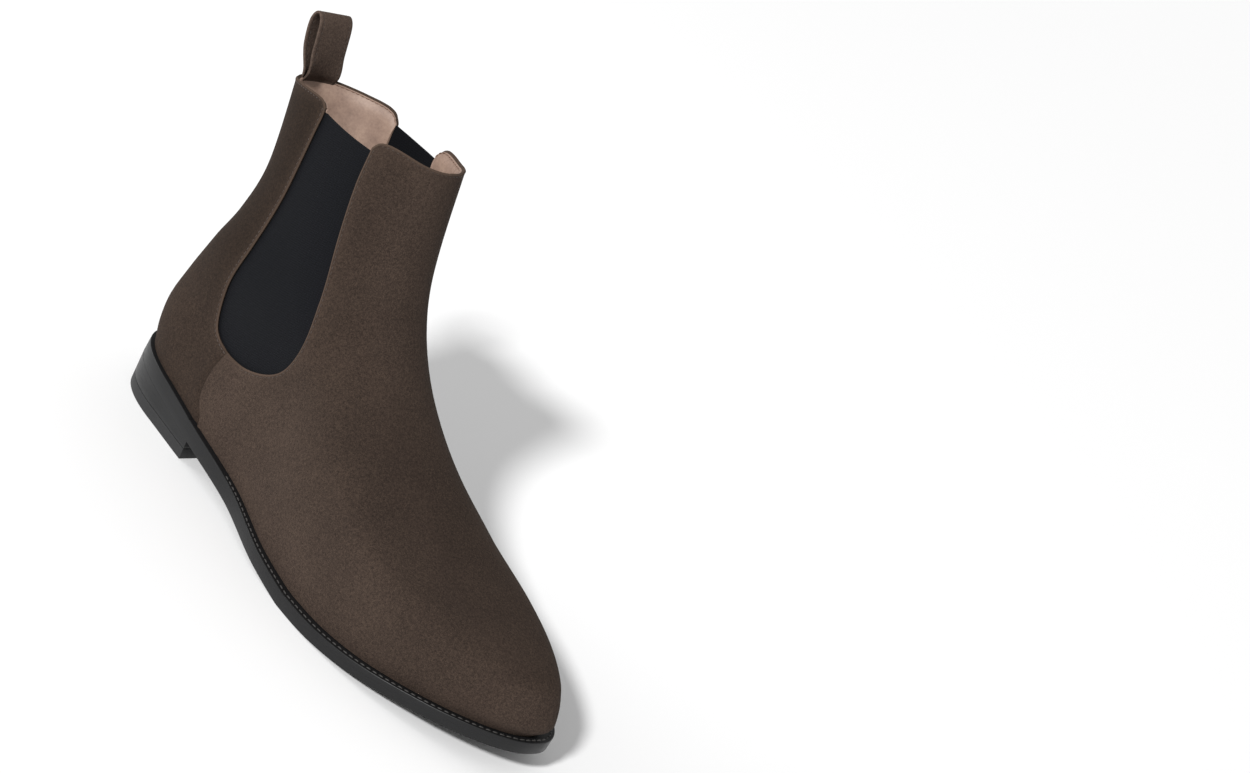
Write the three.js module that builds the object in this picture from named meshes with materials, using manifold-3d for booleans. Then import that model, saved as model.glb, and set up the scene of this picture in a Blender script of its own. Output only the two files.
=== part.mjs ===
// Chelsea boot for the right foot, in millimetres: +X to the toe, +Y to the inside of the foot, +Z up,
// with the origin on the ground under the middle of the heel.
import * as THREE from "three";
import { mergeVertices } from "three/addons/utils/BufferGeometryUtils.js";
import Module from "manifold-3d";

const wasm = await Module();
wasm.setup();

// ---- Driving dimensions ----
const FOOT_LENGTH = 295; // of the feather line, from heel to toe
const BALL_WIDTH = 86.5; // of the feather line, at the ball
const SHAFT_RISE = 168; // from the feather line up to the top edge, at the back
const HEEL_HEIGHT = 17.6; // of the heel under the outsole, at the back
const TOE_SPRING = 15; // rise of the outsole at the tip of the toe
const OUTSOLE = 3.8;
const WELT = 2.5; // thickness in the forepart
const RAND = 4.3; // thickness of the strip that replaces the welt round the heel
const TOP_PIECE = 6; // rubber at the ground
const HEEL_LIFTS = 3;
const HEEL_TAPER = 1.2; // the heel is this much smaller all round at the ground
const HEEL_BREAST = 39; // front face of the heel
const WELT_END = 33; // the welt starts and the rand ends here, over the heel
const TOE_FLARE = 7; // the sole stands out this much more at the inside of the toe
const SUEDE = 1.3;
const ELASTIC = 1.0; // also the stiffeners, which share its layer
const LINING = 0.9;
const INSOLE = 2.6;
const SOCK = 1.0;
const MARGIN = 13; // lasting margin of the upper under the insole
const GORE_LAP = 7; // of the elastic between suede and lining
const SWING_GAP = 0.9; // between the elastic and the leather that swings back beside it
const HINGE_HEIGHT = 75; // the back of the shaft bends here, above the heel counter
const WELT_SEAT = 6; // of the welt's inner edge under the upper
const SHANK_START = -8;
const SHANK_LENGTH = 96;
const SHANK_WIDTH = 12;
const SHANK_THICKNESS = 1;
const TAB_WIDTH = 22;
const TAB_STRAP = 1.6;
const TAB_TAIL = 16; // length of the pull tab's ends between suede and lining
const TAIL_DROP = 0.1; // the ends stop this far under the top edge
const TAB_SET = 0.9; // of the loop's pivot in from the outer face of its ends
const NAIL_RADIUS = 0.9;
const NAIL_HEAD_RADIUS = 1.7;
const NAIL_HEAD_THICKNESS = 0.9;
const HEEL_NAIL_RISE = 1.2; // of the heel nails' heads over the outsole
const HEEL_NAIL_TIP = 1; // of the heel nails' points over the top piece
const TOP_NAIL_LENGTH = 9.2;
const TOP_NAIL_SINK = 0.15; // of the top piece nails' heads in its rubber
const HEEL_NAIL_RING = 17; // radius of the horseshoe that the heel nails stand on
const TOP_NAIL_RING = 24;
const GAP = 0.3; // between touching pieces

const RING_STEPS = 40; // round the upper and the sole alike, so that their facets lie flat on each other
const WINDOW_STEPS = 24;
const SEAM_STEPS = 12;
const TAB_STEPS = 36;
const ROD_SIDES = 10;

// The outlines below are drawn on a last of these sizes, and stretched to the sizes above.
const LAST = { length: 295, ball: 86.5, rise: 168, seat: 26.5 };
const along = (x) => (x * FOOT_LENGTH) / LAST.length;
const across = (y) => (y * BALL_WIDTH) / LAST.ball;
const aloft = (h) => (h * SHAFT_RISE) / LAST.rise;

// Front and back of the upper in side view: [share of the way up, x, height over the feather line].
const FRONT_LINE = [
  [0, 264, 0],
  [0.05, 269, 8.5],
  [0.1, 260, 24],
  [0.18, 238, 31.5],
  [0.27, 200, 38.5],
  [0.39, 157, 55],
  [0.5, 121, 76.5],
  [0.62, 96.5, 101],
  [0.75, 82.5, 126.5],
  [1, 67, 183],
];
const BACK_LINE = [
  [0, -31, 0],
  [0.06, -34, 10.5],
  [0.14, -35.5, 23.5],
  [0.28, -33.5, 41.5],
  [0.42, -28, 63.5],
  [0.57, -22, 86],
  [0.75, -21.5, 115],
  [1, -35.5, 166],
];
// Underside of the outsole: shares of the heel height behind the ball, and of the toe spring before it.
const HEEL_PITCH = [
  [-45, 1.03],
  [-31, 1],
  [0, 0.88],
  [35, 0.63],
  [90, 0.27],
  [145, 0],
];
const SPRING_CURVE = [
  [145, 0],
  [180, 0.09],
  [220, 0.42],
  [264, 0.86],
  [285, 1],
];
// Half widths of the feather line from the middle of the last: outside and inside of the foot.
const OUTSIDE = [
  [-40, 27],
  [0, 28],
  [40, 31.5],
  [80, 34],
  [120, 44],
  [160, 48],
  [190, 45],
  [225, 38],
  [265, 29],
];
const INSIDE = [
  [-40, 30],
  [0, 30],
  [40, 27],
  [80, 25.5],
  [120, 31.5],
  [160, 38.5],
  [190, 39],
  [225, 37],
  [265, 29],
];
const TOE_SWING = 5; // the toe's tip lies this far to the inside
const BULGE = [
  [0, 1],
  [0.06, 1.05],
  [0.14, 1.06],
  [0.24, 1.02],
  [0.38, 0.98],
  [0.57, 0.95],
  [1, 0.95],
];
const SHAFT_HALF_WIDTH = [
  [0, 38],
  [0.28, 36.5],
  [0.42, 36],
  [0.57, 34],
  [0.75, 33.5],
  [1, 32],
];
const SHAFT_BLEND = [0.21, 0.585]; // where the foot's plan turns into the shaft's
// How long the rounded front and back ends of each level are.
const FRONT_NOSE = [
  [0, 80],
  [0.1, 72],
  [0.27, 63],
  [0.39, 66],
  [0.57, 62],
  [0.75, 56],
  [1, 54],
];
const BACK_NOSE = [
  [0, 38],
  [0.14, 37],
  [0.28, 40],
  [0.42, 44],
  [0.57, 48],
  [0.75, 52],
  [1, 52],
];
const NOSE_POWER = 2.15;
const WELT_WIDTH = [
  [-40, 2],
  [0, 2.4],
  [60, 3.2],
  [100, 4],
  [150, 5],
  [200, 5],
  [240, 4.5],
  [280, 4.8],
];
// Spine of the sole, where its two halves meet: from the heel's round centre to the toe's.
const SPINE = [-7, 224];
const RAND_FADE = [40, 130]; // where the rand's thickness turns into the welt's
const FLARE_ALONG = [190, 255]; // where the toe's flare grows, along the last
const FLARE_ROUND = [-0.1, 0.6]; // and round the tip, in radians from its middle to the inside
const FEATHER_FADE = 0.33; // up to this share, the upper follows the bends of the feather line

// Side outlines as [x, height over the ground].
const GORE_WINDOW = [
  [10.5, 200],
  [12.5, 180],
  [15.3, 141],
  [14.5, 108],
  [12.5, 82],
  [17.5, 64],
  [31, 59.5],
  [50, 62.5],
  [66, 74],
  [70.5, 92],
  [64, 115],
  [54, 144],
  [47, 169],
  [42, 200],
];
const WINDOW_MIDDLE = [
  [30, 120],
  [20, 240],
];
// The window on the inside of the foot leans back, from its bottom edge up to its top.
const INSIDE_LEAN = { reach: 8, low: 65, high: 180 };
const TOP_EDGE_OUTSIDE = [
  [-60, 181],
  [-30, 181],
  [-14, 185.5],
  [3, 189],
  [9, 189.2],
  [12, 185],
  [43.6, 186.5],
  [46, 192],
  [50, 193.7],
  [57, 194.3],
  [66, 193.8],
  [90, 193.8],
];
const TOP_EDGE_INSIDE = [
  [-60, 181],
  [-30, 181],
  [-17, 182.8],
  [-5, 184.5],
  [0.5, 184],
  [4, 179.5],
  [34, 181.5],
  [36.5, 187],
  [41, 189.3],
  [54, 190.5],
  [66, 193.8],
  [90, 193.8],
];
const QUARTER_SEAM = [
  [44, -12],
  [37, 23],
  [30.5, 32],
  [29, 46],
  [32, 61],
];
const COUNTER_EDGE = [
  [-80, 72],
  [-25, 72],
  [-5, 62],
  [12, 47],
  [40, 34],
  [62, 26],
  [62, -20],
  [-80, -20],
];
const TOE_PUFF_BACK = [205, 60]; // its straight back edge passes here
const TOE_PUFF_SLOPE = 0.12;
const NAIL_MIDDLE = 4; // of the nails' horseshoes, along the heel
const HORSESHOE = { from: 0.35, to: 1.65 }; // the arc that the nails stand on, in half turns

// Pull tab: its centre line round the pivot, as [x, z], up the back leg and down the front one.
const TAB_PATH = [
  [0, -1.8],
  [-1.8, 0],
  [-4.8, 5.6],
  [-8.8, 14.6],
  [-10.6, 22.6],
  [-8.2, 27.2],
  [-4.4, 24.6],
  [-1.8, 16.1],
  [1.2, 5.6],
  [1.8, 0],
];

// ---- Curves ----
function through(knots, at) {
  const last = knots.length - 1;
  const slope = (i) => {
    const a = knots[Math.max(i - 1, 0)];
    const b = knots[Math.min(i + 1, last)];
    return a.slice(1).map((value, k) => (b[k + 1] - value) / (b[0] - a[0]));
  };
  const s = THREE.MathUtils.clamp(at, knots[0][0], knots[last][0]);
  let i = 0;
  while (i < last - 1 && s >= knots[i + 1][0]) i++;
  const span = knots[i + 1][0] - knots[i][0];
  const u = (s - knots[i][0]) / span;
  const start = slope(i);
  const end = slope(i + 1);
  return start.map((_, k) => {
    const p = knots[i][k + 1];
    const q = knots[i + 1][k + 1];
    const hermite = (1 + 2 * u) * (1 - u) ** 2 * p + u * u * (3 - 2 * u) * q;
    return hermite + span * (u * (1 - u) ** 2 * start[k] + u * u * (u - 1) * end[k]);
  });
}
const level = (knots, at) => through(knots, at)[0];

// ---- Heights of the sole, by x ----
const unstretched = (x) => (x * LAST.length) / FOOT_LENGTH;
function outsoleUnderside(x) {
  const lastX = unstretched(x);
  const ball = SPRING_CURVE[0][0];
  if (lastX > ball) return TOE_SPRING * level(SPRING_CURVE, lastX);
  return HEEL_HEIGHT * level(HEEL_PITCH, lastX);
}
const outsoleTop = (x) => outsoleUnderside(x) + OUTSOLE;
function weltTop(x) {
  const forward = THREE.MathUtils.smoothstep(unstretched(x), ...RAND_FADE);
  return outsoleTop(x) + GAP + THREE.MathUtils.lerp(RAND, WELT, forward);
}
const featherHeight = (x) => weltTop(x) + GAP;
const widthOfWelt = (x) => level(WELT_WIDTH, unstretched(x));

// ---- The last: a point of the upper's outer surface ----
// share runs from 0 at the feather line to 1 at the top, angle round from the heel over the inside.
function lastPoint(share, angle) {
  const t = (1 - Math.cos(angle)) / 2;
  const side = Math.sin(angle) < 0 ? -1 : 1;
  const [frontX, frontRise] = through(FRONT_LINE, share);
  const [backX, backRise] = through(BACK_LINE, share);
  const heelX = along(BACK_LINE[0][1]);
  const toeX = along(FRONT_LINE[0][1]);
  const backZ = featherHeight(heelX) + aloft(backRise);
  const frontZ = featherHeight(toeX) + aloft(frontRise);
  const x = THREE.MathUtils.lerp(along(backX), along(frontX), t);
  const straight = THREE.MathUtils.lerp(
    featherHeight(heelX),
    featherHeight(toeX),
    THREE.MathUtils.clamp((x - heelX) / (toeX - heelX), 0, 1),
  );
  const fade = Math.max(1 - share / FEATHER_FADE, 0) ** 2;
  const z = THREE.MathUtils.lerp(backZ, frontZ, t) + (featherHeight(x) - straight) * fade;
  const length = Math.hypot(along(frontX) - along(backX), frontZ - backZ);
  const round = (knots, distance) => {
    const nose = Math.min(level(knots, share), length / 2);
    const left = THREE.MathUtils.clamp(1 - distance / nose, 0, 1);
    return (1 - left ** NOSE_POWER) ** (1 / NOSE_POWER);
  };
  const shaft = THREE.MathUtils.smoothstep(share, ...SHAFT_BLEND);
  const foot = level(side < 0 ? OUTSIDE : INSIDE, unstretched(x)) * level(BULGE, share);
  const half = across(THREE.MathUtils.lerp(foot, level(SHAFT_HALF_WIDTH, share), shaft));
  const swing = TOE_SWING * Math.max(x / toeX, 0) ** 2 * (1 - shaft);
  const ends = round(FRONT_NOSE, (1 - t) * length) * round(BACK_NOSE, t * length);
  return new THREE.Vector3(x, swing + side * (half - side * swing) * ends, z);
}

// The same point set in by a depth, square to the surface.
function insetPoint(share, angle, depth) {
  const step = 0.01;
  const around = lastPoint(share, angle + step).sub(lastPoint(share, angle - step));
  const high = lastPoint(Math.min(share + step, 1), angle);
  const up = high.sub(lastPoint(Math.max(share - step, 0), angle));
  const inward = around.cross(up).normalize();
  return lastPoint(share, angle).addScaledVector(inward, depth);
}

// A point of the sole's plan: the feather line moved towards the spine by inset, with z from a height.
function planPoint(angle, inset, height) {
  const edge = lastPoint(0, angle);
  const reached = inset < 0 ? inset - toeFlare(angle, edge.x) : inset;
  const spineX = THREE.MathUtils.clamp(edge.x, along(SPINE[0]), along(SPINE[1]));
  const spine = new THREE.Vector3(spineX, spineMiddle(spineX), edge.z);
  const reach = spine.distanceTo(edge);
  const point = edge.lerp(spine, Math.min(reached / reach, 1));
  point.z = height(point.x);
  return point;
}
function toeFlare(angle, x) {
  const forward = THREE.MathUtils.smoothstep(unstretched(x), ...FLARE_ALONG);
  return TOE_FLARE * forward * THREE.MathUtils.smoothstep(Math.PI - angle, ...FLARE_ROUND);
}
function spineMiddle(x) {
  const lastX = unstretched(x);
  return across(level(INSIDE, lastX) - level(OUTSIDE, lastX)) / 2;
}

// ---- Solids ----
function solid(points, triangles) {
  const geometry = new THREE.BufferGeometry().setFromPoints(triangles.flat().map((i) => points[i]));
  return solidOf(geometry);
}
function solidOf(source) {
  const geometry = source.index ? source.toNonIndexed() : source;
  geometry.deleteAttribute("normal");
  geometry.deleteAttribute("uv");
  const merged = mergeVertices(geometry, 1e-3);
  const p = merged.attributes.position;
  const index = merged.index.array;
  const corner = (i) => new THREE.Vector3().fromBufferAttribute(p, i);
  const kept = [];
  let volume = 0;
  for (let i = 0; i < index.length; i += 3) {
    const [a, b, c] = index.slice(i, i + 3);
    if (a === b || b === c || c === a) continue;
    kept.push([a, b, c]);
    volume += corner(a).dot(corner(b).cross(corner(c)));
  }
  const triVerts = new Uint32Array(kept.flatMap((t) => (volume < 0 ? [t[0], t[2], t[1]] : t)));
  return new wasm.Manifold(new wasm.Mesh({ numProp: 3, vertProperties: p.array, triVerts }));
}

// Joins rows of ring points into a closed surface: a ring with a hole, or a plate when the first and
// last rows collapse on the spine. From the row back on, the rows run the other way over the same
// places, and their faces are split along the same diagonal as the faces that they lie against.
function ringSolid(rows, { plate = false, back = rows.length } = {}) {
  const steps = rows[0].length;
  const triangles = [];
  const bands = plate ? rows.length - 1 : rows.length;
  for (let i = 0; i < bands; i++) {
    const next = (i + 1) % rows.length;
    for (let j = 0; j < steps; j++) {
      const right = (j + 1) % steps;
      const a = i * steps + j;
      const b = i * steps + right;
      const c = next * steps + right;
      const d = next * steps + j;
      if (i < back) triangles.push([a, b, c], [a, c, d]);
      else triangles.push([a, b, d], [b, c, d]);
    }
  }
  return solid(rows.flat(), triangles);
}
const ring = (steps, point) =>
  Array.from({ length: steps }, (_, j) => point((2 * Math.PI * j) / steps));

const HALF_WAY = 14; // inset of a plate's middle row of points
const SPINE_REACH = 1000; // an inset that reaches the spine from everywhere

// A plate of the sole between two heights, grown by the outset.
function plate(outset, low, high) {
  const inset = (x) => -outset(x);
  const edge = (height) =>
    ring(RING_STEPS, (angle) => planPoint(angle, inset(lastPoint(0, angle).x), height));
  const half = (height) => ring(RING_STEPS, (angle) => planPoint(angle, HALF_WAY, height));
  const middle = (height) => ring(RING_STEPS, (angle) => planPoint(angle, SPINE_REACH, height));
  return ringSolid([middle(low), half(low), edge(low), edge(high), half(high), middle(high)], {
    plate: true,
    back: 3,
  });
}
// A strip of the sole's edge, from an inset to an outset.
function edgeStrip(inset, outset, low, high) {
  const row = (distance, height) =>
    ring(RING_STEPS, (angle) => planPoint(angle, distance(lastPoint(0, angle).x), height));
  const outer = (x) => -outset(x);
  const inner = () => inset;
  return ringSolid([row(inner, low), row(outer, low), row(outer, high), row(inner, high)], { back: 2 });
}
// A side outline made solid across the boot, from y = from to y = to.
function prism(outline, from, to) {
  const shape = new THREE.Shape(outline.map(([x, z]) => new THREE.Vector2(x, z)));
  const geometry = new THREE.ExtrudeGeometry(shape, { depth: to - from, bevelEnabled: false });
  geometry.rotateX(Math.PI / 2);
  geometry.translate(0, to, 0);
  return solidOf(geometry);
}
const FAR = 400;
const placed = (outline) => outline.map(([x, z]) => [along(x), aloftOverGround(z)]);
function aloftOverGround(z) {
  const seat = featherHeight(along(BACK_LINE[0][1]));
  return z < LAST.seat ? z : seat + aloft(z - LAST.seat);
}
function smooth(outline, steps) {
  const curve = new THREE.SplineCurve(outline.map(([x, z]) => new THREE.Vector2(x, z)));
  return curve.getPoints(steps).map((p) => [p.x, p.y]);
}
// Moves each point of a line square to it, to the right of its direction.
function offsetLine(line, distance) {
  return line.map(([x, z], i) => {
    const [ax, az] = line[Math.max(i - 1, 0)];
    const [bx, bz] = line[Math.min(i + 1, line.length - 1)];
    const length = Math.hypot(bx - ax, bz - az);
    return [x + ((bz - az) / length) * distance, z - ((bx - ax) / length) * distance];
  });
}
function rod(radius, low, high, x, y) {
  const geometry = new THREE.CylinderGeometry(radius, radius, high - low, ROD_SIDES);
  geometry.rotateX(Math.PI / 2);
  geometry.translate(x, y, (low + high) / 2);
  return solidOf(geometry);
}

// ---- Shells of the upper ----
const SHARES = [0.03, 0.07, 0.12, 0.17, 0.225, 0.29, 0.36, 0.43, 0.5, 0.57, 0.64, 0.72, 0.81, 0.9, 1];
// A layer of the upper at a depth under its outer face, turned in under the foot by a margin.
function shell(depth, thickness, margin) {
  const wall = (d) =>
    SHARES.map((share) => ring(RING_STEPS, (angle) => insetPoint(share, angle, d)));
  const turned = (inset, d) =>
    ring(RING_STEPS, (angle) => planPoint(angle, inset, (x) => featherHeight(x) + d));
  const inner = depth + thickness;
  const outside = wall(depth);
  const inside = wall(inner).reverse();
  if (margin > 0) {
    outside.unshift(turned(margin, depth), turned(depth, depth));
    inside.push(turned(inner, inner), turned(margin, inner));
  }
  return ringSolid([...outside, ...inside], { back: outside.length });
}
const elasticDepth = SUEDE + GAP;
const liningDepth = elasticDepth + ELASTIC + GAP;
const wallDepth = liningDepth + LINING;

const suedeShell = shell(0, SUEDE, MARGIN);
const middleShell = shell(elasticDepth, ELASTIC, 0);
const liningShell = shell(liningDepth, LINING, MARGIN);

// ---- Cuts ----
const above = (edge) => [...placed(edge), [FAR, FAR], [-FAR, FAR]];
const overTop = prism(above(TOP_EDGE_OUTSIDE), -FAR, 0).add(prism(above(TOP_EDGE_INSIDE), 0, FAR));
function leaned([x, z]) {
  const up = Math.max((z - INSIDE_LEAN.low) / (INSIDE_LEAN.high - INSIDE_LEAN.low), 0);
  return [x - INSIDE_LEAN.reach * up, z];
}
const windowOutside = placed(smooth(GORE_WINDOW, WINDOW_STEPS));
const windowInside = placed(smooth(GORE_WINDOW.map(leaned), WINDOW_STEPS));
const windows = prism(windowOutside, -FAR, 0).add(prism(windowInside, 0, FAR));
const seamLine = placed(smooth(QUARTER_SEAM, SEAM_STEPS));
function behindSeam(gap) {
  const line = [...offsetLine(seamLine, gap), ...placed(WINDOW_MIDDLE)];
  return prism([...line, [-FAR, line.at(-1)[1]], [-FAR, line[0][1]]], -FAR, FAR);
}
const slab = (low, high) =>
  prism(
    [
      [-FAR, low],
      [FAR, low],
      [FAR, high],
      [-FAR, high],
    ],
    -FAR,
    FAR,
  );
const hingeZ = aloftOverGround(HINGE_HEIGHT);
const aboveHinge = slab(hingeZ + GAP / 2, FAR);
const belowHinge = slab(-FAR, hingeZ - GAP / 2);

// The elastic laps under the fixed leather, and stops short of the leather that swings back.
const swinging = behindSeam(0).intersect(slab(hingeZ - SWING_GAP, FAR));
function gore(outline, from, to) {
  const open = prism(offsetLine(outline, -SWING_GAP), from, to);
  const lapped = prism(offsetLine(outline, GORE_LAP), from, to).subtract(swinging);
  return middleShell.intersect(open.add(lapped)).subtract(overTop);
}

const group = new THREE.Group();
group.name = "chelsea_boot";
function piece(name, made, look) {
  const mesh = made.getMesh();
  const geometry = new THREE.BufferGeometry();
  geometry.setAttribute("position", new THREE.BufferAttribute(mesh.vertProperties, 3));
  geometry.setIndex(new THREE.BufferAttribute(mesh.triVerts, 1));
  geometry.computeVertexNormals();
  const item = new THREE.Mesh(geometry, new THREE.MeshStandardMaterial(look));
  item.name = name;
  group.add(item);
}
const SUEDE_LOOK = { color: 0x4a3c33, roughness: 0.95, metalness: 0 };
const ELASTIC_LOOK = { color: 0x14161d, roughness: 0.85, metalness: 0 };
const LINING_LOOK = { color: 0xb08e7c, roughness: 0.6, metalness: 0 };
const STIFFENER_LOOK = { color: 0xcbb995, roughness: 0.8, metalness: 0 };
const BLACK_LEATHER_LOOK = { color: 0x19191a, roughness: 0.4, metalness: 0 };
const TAN_LEATHER_LOOK = { color: 0xb98a5b, roughness: 0.6, metalness: 0 };
const CORK_LOOK = { color: 0x9a7048, roughness: 0.9, metalness: 0 };
const RUBBER_LOOK = { color: 0x161616, roughness: 0.7, metalness: 0 };
const STEEL_LOOK = { color: 0xa8a9ab, roughness: 0.35, metalness: 1 };
const BRASS_LOOK = { color: 0xb08d4c, roughness: 0.35, metalness: 1 };

// ---- Upper ----
const suede = suedeShell.subtract(windows).subtract(overTop);
const quarter = suede.intersect(behindSeam(-GAP / 2));
piece("vamp", suede.subtract(behindSeam(GAP / 2)), SUEDE_LOOK);
piece("quarter", quarter.intersect(belowHinge), SUEDE_LOOK);
piece("quarter_shaft", quarter.intersect(aboveHinge), SUEDE_LOOK);
piece("gore_lateral", gore(windowOutside, -FAR, -1), ELASTIC_LOOK);
piece("gore_medial", gore(windowInside, 1, FAR), ELASTIC_LOOK);
const lining = liningShell.subtract(windows).subtract(overTop);
const quarterLining = lining.intersect(behindSeam(-GAP / 2));
piece("vamp_lining", lining.subtract(behindSeam(GAP / 2)), LINING_LOOK);
piece("quarter_lining", quarterLining.intersect(belowHinge), LINING_LOOK);
piece("quarter_shaft_lining", quarterLining.intersect(aboveHinge), LINING_LOOK);
piece("heel_counter", middleShell.intersect(prism(placed(COUNTER_EDGE), -FAR, FAR)), STIFFENER_LOOK);
const [puffX, puffZ] = placed([TOE_PUFF_BACK])[0];
const puffBack = (z) => puffX + (z - puffZ) * TOE_PUFF_SLOPE;
const puffCut = [
  [puffBack(-FAR), -FAR],
  [FAR, -FAR],
  [FAR, FAR],
  [puffBack(FAR), FAR],
];
piece("toe_puff", middleShell.intersect(prism(puffCut, -FAR, FAR)), STIFFENER_LOOK);

// ---- Pull tab ----
const backTopZ = aloftOverGround(TOP_EDGE_OUTSIDE[1][1]);
const behindHeel = [
  [-FAR, -FAR],
  [0, -FAR],
  [0, FAR],
  [-FAR, FAR],
];
const tailBand = prism(behindHeel, -TAB_WIDTH / 2, TAB_WIDTH / 2);
const tailSpan = slab(backTopZ - TAB_TAIL, backTopZ - TAIL_DROP);
const tail = middleShell.intersect(tailBand).intersect(tailSpan);
piece("pull_tab_tail", tail, SUEDE_LOOK);
const tailBounds = tail.boundingBox();
const tabFoot = TAB_STRAP / 2 - TAB_PATH[0][1]; // the tab's rounded foot, from its pivot down
const pivotX = tailBounds.min[0] + TAB_SET;
const pivotZ = backTopZ + GAP + tabFoot;
const tabPoints = new THREE.CatmullRomCurve3(
  TAB_PATH.map(([x, z]) => new THREE.Vector3(x, z, 0)),
  true,
).getPoints(TAB_STEPS);
function tabOutline(distance) {
  const line = tabPoints.slice(0, -1);
  return line.map((p, i) => {
    const before = line[(i + line.length - 1) % line.length];
    const after = line[(i + 1) % line.length];
    const square = new THREE.Vector2(after.y - before.y, before.x - after.x).normalize();
    return [pivotX + p.x - square.x * distance, pivotZ + p.y - square.y * distance];
  });
}
const tabOuter = prism(tabOutline(TAB_STRAP / 2), -TAB_WIDTH / 2, TAB_WIDTH / 2);
const tabInner = prism(tabOutline(-TAB_STRAP / 2), -TAB_WIDTH, TAB_WIDTH);
piece("pull_tab", tabOuter.subtract(tabInner), SUEDE_LOOK);

// ---- Inside the foot ----
const onFeather = (lift) => (x) => featherHeight(x) + lift;
const insoleBase = wallDepth + GAP;
const insoleTop = insoleBase + INSOLE;
const inWall = () => -wallDepth - GAP;
piece("insole", plate(inWall, onFeather(insoleBase), onFeather(insoleTop)), TAN_LEATHER_LOOK);
const sockBase = insoleTop + GAP;
const inLining = () => -wallDepth - 2 * GAP;
piece("sock_liner", plate(inLining, onFeather(sockBase), onFeather(sockBase + SOCK)), LINING_LOOK);

// ---- Bottom ----
const fillerLow = (x) => outsoleTop(x) + GAP;
const strip = edgeStrip(WELT_SEAT, widthOfWelt, fillerLow, weltTop);
const splitX = along(WELT_END);
const before = (x) =>
  prism(
    [
      [x, -FAR],
      [FAR, -FAR],
      [FAR, FAR],
      [x, FAR],
    ],
    -FAR,
    FAR,
  );
const welt = strip.intersect(before(splitX + GAP / 2));
piece("welt", welt, BLACK_LEATHER_LOOK);
piece("heel_rand", strip.subtract(before(splitX - GAP / 2)), BLACK_LEATHER_LOOK);

const lowFiller = plate(() => -WELT_SEAT - GAP, fillerLow, (x) => weltTop(x) - 2 * GAP);
const highFiller = plate(() => -MARGIN - 2 * GAP, fillerLow, onFeather(wallDepth));
const shankFrom = along(SHANK_START);
const shankLow = onFeather(wallDepth - SHANK_THICKNESS - GAP);
const shankHigh = onFeather(wallDepth - GAP);
function bar(from, to, width, low, high) {
  const stations = 10;
  const rows = Array.from({ length: stations + 1 }, (_, i) => {
    const x = THREE.MathUtils.lerp(from, to, i / stations);
    const y = spineMiddle(x);
    return [
      new THREE.Vector3(x, y - width / 2, low(x)),
      new THREE.Vector3(x, y + width / 2, low(x)),
      new THREE.Vector3(x, y + width / 2, high(x)),
      new THREE.Vector3(x, y - width / 2, high(x)),
    ];
  });
  const triangles = [
    [0, 1, 2],
    [0, 2, 3],
  ];
  const end = stations * 4;
  triangles.push([end, end + 2, end + 1], [end, end + 3, end + 2]);
  for (let i = 0; i < stations; i++) {
    for (let j = 0; j < 4; j++) {
      const a = i * 4 + j;
      const b = i * 4 + ((j + 1) % 4);
      triangles.push([a, a + 4, b + 4], [a, b + 4, b]);
    }
  }
  return solid(rows.flat(), triangles);
}
const groove = bar(
  shankFrom - GAP,
  shankFrom + SHANK_LENGTH + GAP,
  SHANK_WIDTH + 2 * GAP,
  (x) => shankLow(x) - GAP,
  onFeather(wallDepth + SHANK_THICKNESS),
);
const shank = bar(shankFrom, shankFrom + SHANK_LENGTH, SHANK_WIDTH, shankLow, shankHigh);
piece("shank", shank, STEEL_LOOK);

// ---- Heel ----
const breast = along(HEEL_BREAST);
const BREAST_TRIM = 22; // the heel's blocks reach this far forward before the breast is cut
const behindBreast = (x) => Math.min(x, breast + BREAST_TRIM);
const heelTop = (x) => outsoleUnderside(behindBreast(x)) - GAP;
const heelLow = () => TOP_PIECE + GAP;
const heelOutset = (height) => (x) =>
  widthOfWelt(x) - HEEL_TAPER * THREE.MathUtils.clamp(1 - height / HEEL_HEIGHT, 0, 1);
function heelSlice(lowShare, highShare) {
  const at = (share) => (x) => THREE.MathUtils.lerp(heelLow(), heelTop(x), share);
  const face = (share, shift) => ({
    outset: heelOutset(at(share)(0)),
    height: (x) => at(share)(x) + shift,
  });
  const low = face(lowShare, lowShare > 0 ? GAP / 2 : 0);
  const high = face(highShare, highShare < 1 ? -GAP / 2 : 0);
  return heelBlock(low, high);
}
function heelBlock(low, high) {
  const edge = ({ outset, height }) =>
    ring(RING_STEPS, (angle) => planPoint(angle, -outset(lastPoint(0, angle).x), height));
  const inner = ({ height }, inset) => ring(RING_STEPS, (angle) => planPoint(angle, inset, height));
  const rows = [inner(low, SPINE_REACH), inner(low, HALF_WAY), edge(low)];
  rows.push(edge(high), inner(high, HALF_WAY), inner(high, SPINE_REACH));
  const block = ringSolid(rows, { plate: true, back: 3 });
  return block.subtract(before(breast));
}
const topPiece = heelBlock(
  { outset: heelOutset(0), height: () => 0 },
  { outset: heelOutset(TOP_PIECE), height: () => TOP_PIECE },
);
// Nails on a horseshoe round the middle of the heel.
function horseshoe(count, radius) {
  return Array.from({ length: count }, (_, i) => {
    const angle = Math.PI * THREE.MathUtils.lerp(HORSESHOE.from, HORSESHOE.to, i / (count - 1));
    const x = along(NAIL_MIDDLE) + radius * Math.cos(angle);
    return [x, spineMiddle(0) + radius * Math.sin(angle)];
  });
}
const HEEL_NAILS = horseshoe(5, across(HEEL_NAIL_RING));
const TOP_NAILS = horseshoe(7, across(TOP_NAIL_RING));
const PAST = 1; // a hole is cut this far past the face that it opens
const nailTop = (x) => outsoleTop(x) + GAP + HEEL_NAIL_RISE;
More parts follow.
